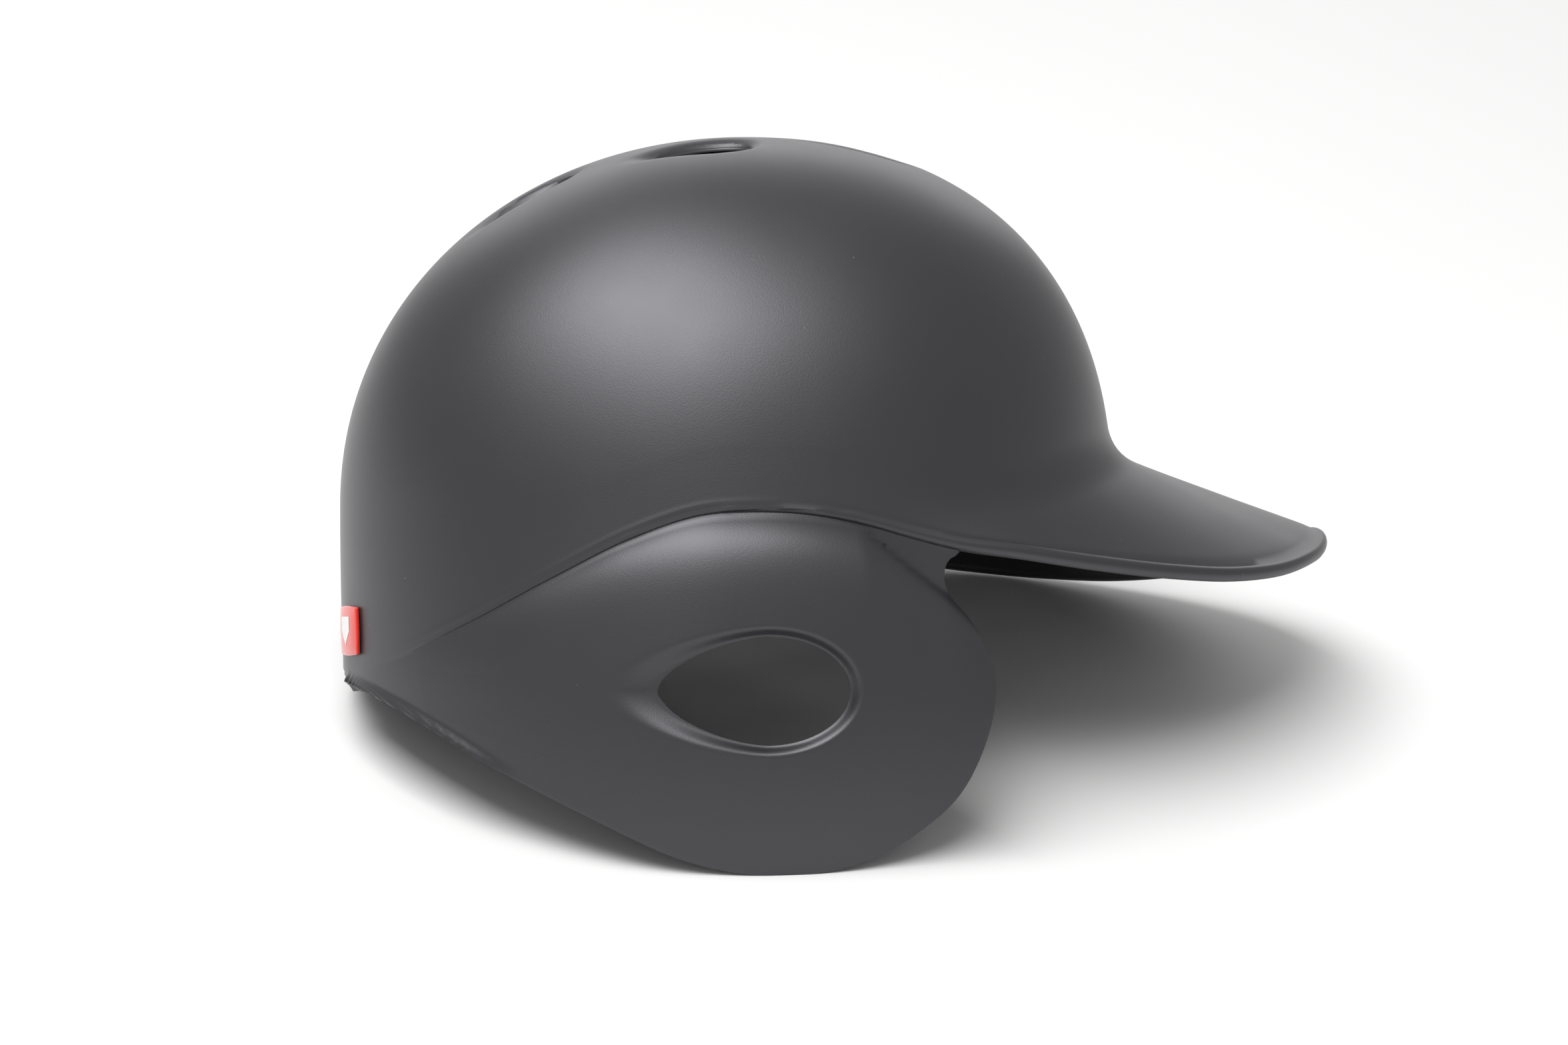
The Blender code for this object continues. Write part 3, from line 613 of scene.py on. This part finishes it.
def flap_sides():
    """The flap's crease, lower and front borders in (run, height), as dense lines."""
    notch = FLAP_OUTLINE[-1]
    x = np.linspace(SIDE_X[0], notch[0], CREASE_SAMPLES)
    degrees = np.degrees(np.interp(x, SIDE_X, SIDE_ANGLES))
    crease = np.column_stack((run_from_x(x), read_line(EDGE_LINE, degrees)))
    outline = smooth_path(FLAP_OUTLINE, OUTLINE_STEPS)
    outline[:, 0] = run_from_x(outline[:, 0])
    corner = OUTLINE_STEPS * FLAP_CORNER
    front = outline[corner:][::-1]
    front[0] = crease[-1]
    return crease, outline[: corner + 1], front


def flap_table():
    """(run, height) of the flap's grid: a patch between crease, lower border and front border."""
    crease, lower, front = flap_sides()
    across = np.linspace(0.0, 1.0, FLAP_COLUMNS + 1)
    down = np.linspace(0.0, 1.0, FLAP_ROWS + 1)
    top = resample(crease, across * along(crease)[-1])
    bottom = resample(lower, across * along(lower)[-1])
    side = resample(front, down * along(front)[-1])
    bow = side - np.outer(1 - down, side[0]) - np.outer(down, side[-1])
    lean = across**3
    return [top * (1 - v) + bottom * v + np.outer(lean, bow[k]) for k, v in enumerate(down)]


def hole_rings(table):
    """Rings of (run, height) from the ear hole out to the block of cells left open for it."""
    first_row, last_row, first_column, last_column = EAR_BLOCK
    edge = [(row, first_column) for row in range(first_row, last_row)]
    edge += [(last_row, column) for column in range(first_column, last_column)]
    edge += [(row, last_column) for row in range(last_row, first_row, -1)]
    edge += [(first_row, column) for column in range(last_column, first_column, -1)]
    outer = np.array([table[row][column] for row, column in edge])
    centre = np.array([0.0, EAR_Z])
    facing = np.arctan2((outer - centre)[:, 1] / EAR_HALF_HEIGHT, (outer - centre)[:, 0] / EAR_REAR)
    inner = centre + np.array([ear_curve(0.0, turn) for turn in facing])
    return [inner + (outer - inner) * share for share in EAR_RINGS]


def nape_lip(run, z, border):
    """Height of the rolled lip near the flap's lower border."""
    x = float(np.interp(run, SIDE_RUN, SIDE_X))
    fade = 1.0 - float(smooth_step((x - NAPE_LIP_FADE[0]) / (NAPE_LIP_FADE[1] - NAPE_LIP_FADE[0])))
    if fade <= 0:
        return 0.0
    distance = float(np.min(np.hypot(border[:, 0] - run, border[:, 1] - z)))
    return NAPE_LIP * fade * (1.0 - float(smooth_step(distance / NAPE_LIP_WIDTH)))


def flap_mesh():
    """Outer face of the flap, open at the ear hole and tucked into the dome's wall at the crease."""
    table = flap_table()
    border = flap_sides()[1]
    points = [[tuck_point(run) for run, _ in table[0]]]
    points += [[flap_point(run, z, nape_lip(run, z, border)) for run, z in row] for row in table]
    rings = [[flap_point(run, z) for run, z in ring] for ring in hole_rings(table)]
    bm = bmesh.new()
    first_row, last_row, first_column, last_column = EAR_BLOCK
    add_grid(bm, points, False, (first_row + 1, last_row + 1, first_column, last_column))
    add_grid(bm, rings, True)
    bmesh.ops.remove_doubles(bm, verts=bm.verts, dist=1e-6)
    return bm


def dome_point(angle, share):
    """Point of the dome's outer face, and of the wall under it.

    The share runs from 0 at the crown through 1 at the widest section to more on the wall below.
    """
    line = dome_profile(angle)
    radius, height = resample(line, [share * along(line)[DOME_SAMPLES - 1]])[0]
    return to_space(angle, radius, height)


def dome_spot(angle, share, depth=0.0):
    """Point at a depth under the dome's outer face, and the outward direction there."""
    around = dome_point(angle + NORMAL_STEP, share) - dome_point(angle - NORMAL_STEP, share)
    down = dome_point(angle, share + NORMAL_STEP) - dome_point(angle, share - NORMAL_STEP)
    normal = down.cross(around).normalized()
    return dome_point(angle, share) - depth * normal, normal


def above_plan(x, y):
    """Point of the dome's outer face over a place in plan."""
    angle = math.atan2(y, x - DOME_CENTRE_X)
    line = dome_profile(angle)[:DOME_SAMPLES]
    return Vector((x, y, float(np.interp(math.hypot(x - DOME_CENTRE_X, y), line[:, 0], line[:, 1]))))


def vent_frames():
    """Middle, forward, sideways and outward directions of each vent."""
    frames = []
    for x, away in VENTS:
        for y in (-away, away):
            middle = above_plan(x, y)
            ahead = above_plan(x + VENT_STEP, y) - above_plan(x - VENT_STEP, y)
            left = above_plan(x, y + VENT_STEP) - above_plan(x, y - VENT_STEP)
            outward = ahead.cross(left).normalized()
            forward = ahead.normalized()
            frames.append((middle, forward, outward.cross(forward), outward))
    return frames


def vent_dimple(point, frames):
    """Depth of the dimple round the nearest vent at a point of the dome."""
    depth = 0.0
    for middle, forward, sideways, _ in frames:
        offset = point - middle
        if offset.length > VENT_LENGTH / 2 + DIMPLE_REAR:
            continue
        run = offset.dot(forward)
        rise = offset.dot(sideways)
        slim = 1.0 + 2 * VENT_POINT * max(-0.5, min(0.5, run / VENT_LENGTH))
        half = (VENT_LENGTH / 2, VENT_WIDTH / 2 * slim)
        tail = DIMPLE_FRONT if run > 0 else DIMPLE_REAR
        outer = (half[0] + tail, half[1] + DIMPLE_SIDES)
        depth = max(depth, DIMPLE_DEPTH * hollow(run, rise, half, outer, 2.0))
    return depth


def vent_cutter(frame_of_vent):
    """Teardrop plug with a flared top, which leaves a rounded lip."""
    middle, forward, sideways, outward = frame_of_vent
    rings = []
    for margin, depth in VENT_LIP:
        ring = []
        for k in range(VENT_SEGMENTS):
            turn = 2 * math.pi * k / VENT_SEGMENTS
            run = (VENT_LENGTH / 2 + margin) * math.cos(turn)
            slim = 1.0 + VENT_POINT * math.cos(turn)
            rise = (VENT_WIDTH / 2 * slim + margin) * math.sin(turn)
            flat = middle + forward * run + sideways * rise
            ring.append(above_plan(flat.x, flat.y) - outward * (DIMPLE_DEPTH + depth))
        rings.append(ring)
    poles = [sum(ring, Vector()) / VENT_SEGMENTS for ring in (rings[0], rings[-1])]
    closed = [[poles[0]] * VENT_SEGMENTS] + rings + [[poles[1]] * VENT_SEGMENTS]
    bm = sheet(closed, True)
    bmesh.ops.recalc_face_normals(bm, faces=bm.faces)
    return bm


def dome_mesh(frames):
    """Closed dome and brim, dimpled round the vents."""
    angles = [2 * math.pi * k / COLUMNS for k in range(COLUMNS)]
    profiles = [closed_profile(angle) for angle in angles]
    points = []
    for row in range(len(profiles[0])):
        line = [to_space(angle, *profile[row]) for angle, profile in zip(angles, profiles)]
        if row < DOME_ROWS:
            line = [point - Vector((0, 0, 1)) * vent_dimple(point, frames) for point in line]
        points.append(line)
    return sheet(points, True)


def combine(ob, other, operation):
    """Adds a Boolean of an object with another one."""
    boolean = ob.modifiers.new(operation.lower(), "BOOLEAN")
    boolean.operation = operation
    boolean.object = other
    boolean.solver = "EXACT"


def build_shell(material):
    """Shell as one moulding: dome joined to flap, with the vents cut, laid at rest."""
    frames = vent_frames()
    shell = add_object("shell", dome_mesh(frames), material)
    flap = add_object("flap_body", flap_mesh())
    thicken = flap.modifiers.new("thickness", "SOLIDIFY")
    thicken.thickness = WALL
    thicken.offset = -1.0
    thicken.use_even_offset = True
    thicken.use_quality_normals = True
    rounding = flap.modifiers.new("edges", "BEVEL")
    rounding.width = FLAP_EDGE_RADIUS
    rounding.segments = 4
    rounding.limit_method = "ANGLE"
    rounding.angle_limit = BEVEL_ANGLE
    combine(shell, flap, "UNION")
    cutters = [add_object(f"vent_cutter_{k}", vent_cutter(place)) for k, place in enumerate(frames, 1)]
    for cutter in cutters:
        combine(shell, cutter, "DIFFERENCE")
    apply_modifiers(shell)
    for spare in [flap] + cutters:
        bpy.data.objects.remove(spare, do_unlink=True)
    shell.data.transform(REST)
    for vert in shell.data.vertices:
        vert.co.z = max(vert.co.z, 0.0)
    shell.data.shade_smooth()
    shell.data.set_sharp_from_angle(angle=SHARP_ANGLE)
    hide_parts("outer_shell")
    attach(shell, "root")


def new_material(name, roughness):
    """New material, with its node tree and its shader."""
    material = bpy.data.materials.new(name)
    material.use_nodes = True
    tree = material.node_tree
    shader = tree.nodes["Principled BSDF"]
    shader.inputs["Roughness"].default_value = roughness
    return material, tree, shader


def object_noise(tree, scale, detail=3.0):
    """Noise over the object's own coordinates."""
    place = tree.nodes.new("ShaderNodeTexCoord")
    noise = tree.nodes.new("ShaderNodeTexNoise")
    noise.inputs["Scale"].default_value = scale
    noise.inputs["Detail"].default_value = detail
    tree.links.new(place.outputs["Object"], noise.inputs["Vector"])
    return noise.outputs["Fac"]


def cells(tree, scale, feature):
    """Distance pattern of random cells over the object's own coordinates."""
    place = tree.nodes.new("ShaderNodeTexCoord")
    pattern = tree.nodes.new("ShaderNodeTexVoronoi")
    pattern.feature = feature
    pattern.inputs["Scale"].default_value = scale
    tree.links.new(place.outputs["Object"], pattern.inputs["Vector"])
    return pattern.outputs["Distance"]


def ramp(tree, value, stops):
    """Colour ramp over a value, with stops of (position, colour)."""
    node = tree.nodes.new("ShaderNodeValToRGB")
    marks = node.color_ramp.elements
    for number, (position, colour) in enumerate(stops):
        mark = marks[number] if number < 2 else marks.new(position)
        mark.position = position
        mark.color = (*colour, 1.0)
    tree.links.new(value, node.inputs["Fac"])
    return node.outputs["Color"]


def spread_value(tree, value, low, high):
    """Number that runs from low to high with a value from 0 to 1."""
    node = tree.nodes.new("ShaderNodeMapRange")
    node.inputs["From Min"].default_value = 0.3
    node.inputs["From Max"].default_value = 0.7
    node.inputs["To Min"].default_value = low
    node.inputs["To Max"].default_value = high
    tree.links.new(value, node.inputs["Value"])
    return node.outputs["Result"]


def add_bump(tree, shader, heights, distance):
    """Chain of bumps from (height, strength) pairs."""
    normal = None
    for height, strength in heights:
        bump = tree.nodes.new("ShaderNodeBump")
        bump.inputs["Strength"].default_value = strength
        bump.inputs["Distance"].default_value = distance
        tree.links.new(height, bump.inputs["Height"])
        if normal:
            tree.links.new(normal, bump.inputs["Normal"])
        normal = bump.outputs["Normal"]
    tree.links.new(normal, shader.inputs["Normal"])


def wave(tree, scale, angle):
    """Bands across the object at an angle in its own coordinates."""
    place = tree.nodes.new("ShaderNodeTexCoord")
    turned = tree.nodes.new("ShaderNodeMapping")
    turned.inputs["Rotation"].default_value = angle
    bands = tree.nodes.new("ShaderNodeTexWave")
    bands.inputs["Scale"].default_value = scale
    bands.inputs["Distortion"].default_value = RIB_DISTORTION
    bands.inputs["Detail Scale"].default_value = RIB_DETAIL_SCALE
    tree.links.new(place.outputs["Object"], turned.inputs["Vector"])
    tree.links.new(turned.outputs["Vector"], bands.inputs["Vector"])
    return bands.outputs["Fac"]


def product(tree, first, second):
    node = tree.nodes.new("ShaderNodeMath")
    node.operation = "MULTIPLY"
    tree.links.new(first, node.inputs[0])
    tree.links.new(second, node.inputs[1])
    return node.outputs["Value"]


def shell_paint():
    """Matt black paint with a fine tooth, slight blotches and a few specks of dust."""
    material, tree, shader = new_material("matt_paint", 0.45)
    blotch = object_noise(tree, 22.0, 4.0)
    specks = cells(tree, DUST_SPACING, "F1")
    base = ramp(tree, specks, ((0.6 * DUST_SIZE, DUST_COLOUR), (DUST_SIZE, PAINT_COLOUR)))
    tree.links.new(base, shader.inputs["Base Color"])
    shader.inputs["Specular Tint"].default_value = PAINT_TINT
    shader.inputs["Sheen Weight"].default_value = PAINT_SHEEN
    shader.inputs["Sheen Roughness"].default_value = PAINT_SHEEN_ROUGHNESS
    tree.links.new(spread_value(tree, blotch, *PAINT_ROUGHNESS), shader.inputs["Roughness"])
    shader.inputs["Specular IOR Level"].default_value = PAINT_SPECULAR
    grain = object_noise(tree, 2600.0, 2.0)
    ripple = object_noise(tree, 45.0, 2.0)
    add_bump(tree, shader, ((ripple, 0.06), (grain, 0.10)), 0.0004)
    return material


def bead_foam():
    """Dark moulded foam with the outlines of its fused beads."""
    material, tree, shader = new_material("bead_foam", 0.8)
    beads = cells(tree, BEADS_PER_METRE, "DISTANCE_TO_EDGE")
    edges = ramp(tree, beads, ((0.0, FOAM_COLOURS[0]), (0.12, FOAM_COLOURS[1])))
    tree.links.new(edges, shader.inputs["Base Color"])
    blotch = object_noise(tree, 60.0)
    tree.links.new(spread_value(tree, blotch, 0.72, 0.9), shader.inputs["Roughness"])
    grain = object_noise(tree, 1500.0)
    add_bump(tree, shader, ((beads, 0.5), (grain, 0.15)), 0.0006)
    return material


def pad_fabric():
    """Brushed black knit: crossing ribs with a soft nap and wear."""
    material, tree, shader = new_material("pad_knit", 0.85)
    wales = wave(tree, RIBS_PER_METRE, (0.0, 0.0, math.radians(45)))
    courses = wave(tree, RIBS_PER_METRE, (math.radians(90), 0.0, math.radians(-45)))
    knit = product(tree, wales, courses)
    wear = object_noise(tree, 35.0, 4.0)
    colour = ramp(tree, wear, ((0.25, KNIT_COLOURS[0]), (0.75, KNIT_COLOURS[1])))
    tree.links.new(colour, shader.inputs["Base Color"])
    tree.links.new(spread_value(tree, wear, 0.78, 0.95), shader.inputs["Roughness"])
    shader.inputs["Sheen Weight"].default_value = 0.35
    shader.inputs["Sheen Roughness"].default_value = 0.5
    fuzz = object_noise(tree, 2200.0)
    add_bump(tree, shader, ((knit, 0.5), (fuzz, 0.25)), 0.0005)
    return material


def hook_pile():
    """Stubby hook-and-loop pile."""
    material, tree, shader = new_material("hook_pile", 0.75)
    pile = object_noise(tree, 1800.0, 2.0)
    colour = ramp(tree, pile, ((0.35, PILE_COLOURS[0]), (0.65, PILE_COLOURS[1])))
    tree.links.new(colour, shader.inputs["Base Color"])
    tree.links.new(spread_value(tree, pile, 0.6, 0.9), shader.inputs["Roughness"])
    add_bump(tree, shader, ((pile, 0.8),), 0.0008)
    return material


def sticker_vinyl():
    """Glossy red under clear resin, faintly uneven."""
    material, tree, shader = new_material("red_vinyl", 0.25)
    blotch = object_noise(tree, 180.0, 3.0)
    colour = ramp(tree, blotch, ((0.2, VINYL_COLOURS[0]), (0.8, VINYL_COLOURS[1])))
    tree.links.new(colour, shader.inputs["Base Color"])
    tree.links.new(spread_value(tree, blotch, 0.2, 0.32), shader.inputs["Roughness"])
    shader.inputs["Coat Weight"].default_value = 0.6
    shader.inputs["Coat Roughness"].default_value = 0.08
    add_bump(tree, shader, ((blotch, 0.05),), 0.0003)
    return material


def print_white():
    """White print with a faint screen texture."""
    material, tree, shader = new_material("white_print", 0.4)
    grain = object_noise(tree, 900.0, 2.0)
    colour = ramp(tree, grain, ((0.3, PRINT_COLOURS[0]), (0.7, PRINT_COLOURS[1])))
    tree.links.new(colour, shader.inputs["Base Color"])
    tree.links.new(spread_value(tree, grain, 0.35, 0.5), shader.inputs["Roughness"])
    add_bump(tree, shader, ((grain, 0.1),), 0.0002)
    return material


def floor_paint():
    """White paper sweep, very slightly mottled."""
    material, tree, shader = new_material("white_floor", 0.6)
    blotch = object_noise(tree, 1.5, 2.0)
    colour = ramp(tree, blotch, ((0.3, FLOOR_COLOURS[0]), (0.7, FLOOR_COLOURS[1])))
    tree.links.new(colour, shader.inputs["Base Color"])
    shader.inputs["Specular IOR Level"].default_value = 0.1
    return material


def copy_node(node, name, material):
    """New object with the shape of a CAD node, on which work can start."""
    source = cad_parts[node]
    ob = bpy.data.objects.new(name, source.data.copy())
    bpy.context.scene.collection.objects.link(ob)
    ob.matrix_world = source.matrix_world
    ob.data.materials.clear()
    ob.data.materials.append(material)
    return ob


def remesh(ob, voxel):
    grid = ob.modifiers.new("grid", "REMESH")
    grid.mode = "VOXEL"
    grid.voxel_size = voxel
    grid.use_smooth_shade = True
    return apply_modifiers(ob)


def build_foam(material):
    """Foam blocks with softly rounded edges."""
    for side in ("front", "rear", "left", "right", "crown"):
        foam = remesh(copy_node(f"{side}_liner", f"{side}_foam", material), FOAM_VOXEL)
        relax = foam.modifiers.new("relax", "SMOOTH")
        relax.factor = 0.5
        relax.iterations = FOAM_SMOOTHING
        apply_modifiers(foam)
        foam.data.shade_smooth()
        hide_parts(f"{side}_liner")
        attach(foam, "root")


def shrink(ob, amount):
    """Moves a mesh's points inwards along their normals."""
    normals = [vert.normal.copy() for vert in ob.data.vertices]
    for vert, normal in zip(ob.data.vertices, normals):
        vert.co -= normal * amount


def read_points(mesh):
    points = np.zeros(len(mesh.vertices) * 3, dtype=np.float32)
    mesh.vertices.foreach_get("co", points)
    return points.reshape(-1, 3)


def swell(pads):
    """Blows all the pads up together as sealed cloth bags, each point moving no further than a cap."""
    for pad in pads:
        cloth = pad.modifiers.new("cloth", "CLOTH")
        cloth.settings.use_pressure = True
        cloth.settings.uniform_pressure_force = PAD_PRESSURE
        cloth.settings.mass = PAD_CLOTH_MASS
        cloth.settings.tension_stiffness = PAD_CLOTH_STIFFNESS
        cloth.settings.compression_stiffness = PAD_CLOTH_STIFFNESS
        cloth.settings.bending_stiffness = PAD_CLOTH_BENDING
        cloth.settings.effector_weights.gravity = 0.0
        cloth.point_cache.frame_start = 1
        cloth.point_cache.frame_end = PAD_FRAMES
    for number in range(1, PAD_FRAMES + 1):
        bpy.context.scene.frame_set(number)
    graph = bpy.context.evaluated_depsgraph_get()
    for pad in pads:
        start = read_points(pad.data)
        moved = read_points(pad.evaluated_get(graph).data) - start
        length = np.linalg.norm(moved, axis=1)
        scale = np.minimum(1.0, PAD_SWELL_LIMIT / np.maximum(length, 1e-9))
        pad.modifiers.clear()
        pad.data.vertices.foreach_set("co", (start + moved * scale[:, None]).ravel())
        pad.data.update()
    bpy.context.scene.frame_set(1)


def build_pads(material):
    """Comfort pads, ear pad and jaw pad as stuffed fabric."""
    names = ("front_pad", "rear_pad", "left_pad", "right_pad", "crown_pad", "ear_pad", "jaw_pad")
    pads = []
    for node in names:
        pad = remesh(copy_node(node, f"stuffed_{node}", material), PAD_VOXEL)
        shrink(pad, PAD_SHRINK)
        pads.append(pad)
    swell(pads)
    for pad, node in zip(pads, names):
        finer = pad.modifiers.new("finer", "SUBSURF")
        finer.levels = finer.render_levels = 1
        apply_modifiers(pad)
        pad.data.shade_smooth()
        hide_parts(node)
        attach(pad, "root")


def finish_dots(material):
    """Gives the hook dots their pile."""
    for name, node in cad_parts.items():
        if name.startswith("hook_dot"):
            node.data.materials.clear()
            node.data.materials.append(material)


def sticker_point(a, b, lift):
    """Point over the sticker, from -1 to 1 across and from -1 to 1 up, at a height over the wall."""
    middle = math.pi + STICKER_TURN
    wall = along(dome_profile(middle))[DOME_SAMPLES - 1]
    turn = STICKER_HALF_TURN * a * math.sqrt(1 - STICKER_ROUNDING * b * b)
    height = STICKER_Z + STICKER_HALF_HEIGHT * b * math.sqrt(1 - STICKER_ROUNDING * a * a)
    return dome_spot(middle + turn, 1 - height / wall, -float(lift))[0]


def sticker_lift(a, b):
    """Height of the sticker's domed face over the wall."""
    crown = (1 - a**4) * (1 - b**4)
    return STICKER_GAP + STICKER_THICKNESS + STICKER_DOME * crown


def build_sticker(red):
    """Thick sticker wrapped round the rear of the dome."""
    steps = np.linspace(-1.0, 1.0, STICKER_STEPS)
    rows = [[sticker_point(a, b, sticker_lift(a, b)) for a in steps] for b in steps[::-1]]
    sticker = add_object("rear_sticker", sheet(rows, False), red)
    thicken = sticker.modifiers.new("thickness", "SOLIDIFY")
    thicken.thickness = STICKER_THICKNESS
    thicken.offset = -1.0
    rounding = sticker.modifiers.new("edges", "BEVEL")
    rounding.width = STICKER_EDGE_RADIUS
    rounding.segments = 3
    rounding.limit_method = "ANGLE"
    rounding.angle_limit = BEVEL_ANGLE
    apply_modifiers(sticker)
    sticker.data.shade_smooth()
    sticker.matrix_world = REST
    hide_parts("rear_decal")
    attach(sticker, "root")


def build_mark(white):
    """Home-plate outline laid on the sticker's domed face."""
    across = MARK_HALF_WIDTH / (STICKER_HALF_TURN * REAR_LENGTH)
    up = MARK_HALF_WIDTH / STICKER_HALF_HEIGHT
    rows = []
    for b in np.linspace(1.0, -1.0, MARK_STEPS):
        reach = min(1.0, 1.0 + b)
        steps = np.linspace(-reach, reach, MARK_STEPS) if reach > 0 else np.zeros(MARK_STEPS)
        spots = [(a * across, b * up) for a in steps]
        rows.append([sticker_point(a, c, sticker_lift(a, c) + MARK_RISE) for a, c in spots])
    mark = add_object("home_plate_print", sheet(rows, False), white)
    mark.matrix_world = REST
    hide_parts("decal_mark")
    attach(mark, "root")


def build_floor():
    """Plain pale floor under the helmet."""
    bm = bmesh.new()
    bmesh.ops.create_grid(bm, x_segments=1, y_segments=1, size=FLOOR_SIZE / 2)
    floor = add_object("floor", bm, floor_paint())


def aim(place, target, roll=0.0):
    """Placement of a lamp or camera that looks at a point."""
    back = (Vector(place) - Vector(target)).normalized()
    turn = (-back).to_track_quat("-Z", "Y") @ Quaternion((0, 0, 1), math.radians(roll))
    return Matrix.Translation(place) @ turn.to_matrix().to_4x4()


def build_studio():
    """Two softboxes and an even white surround."""
    for name, facts in LIGHTS.items():
        lamp = bpy.data.lights.new(name, "AREA")
        lamp.shape = "RECTANGLE"
        lamp.size, lamp.size_y = facts["size"]
        lamp.energy = facts["power"]
        ob = bpy.data.objects.new(name, lamp)
        bpy.context.scene.collection.objects.link(ob)
        ob.matrix_world = aim(facts["place"], LIGHT_TARGET)
    world = bpy.data.worlds.new("studio")
    world.use_nodes = True
    background = world.node_tree.nodes["Background"]
    background.inputs["Color"].default_value = (1.0, 1.0, 1.0, 1.0)
    background.inputs["Strength"].default_value = WORLD_STRENGTH
    bpy.context.scene.world = world
    bpy.context.scene.view_settings.view_transform = "Standard"


def build_camera():
    lens = bpy.data.cameras.new("camera")
    lens.lens = CAMERA_LENS
    camera = bpy.data.objects.new("camera", lens)
    bpy.context.scene.collection.objects.link(camera)
    camera.matrix_world = aim(CAMERA_PLACE, CAMERA_TARGET, CAMERA_ROLL)
    bpy.context.scene.camera = camera


def main():
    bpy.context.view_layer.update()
    build_camera()
    build_studio()
    build_floor()
    build_shell(shell_paint())
    build_foam(bead_foam())
    build_pads(pad_fabric())
    finish_dots(hook_pile())
    build_sticker(sticker_vinyl())
    build_mark(print_white())


main()
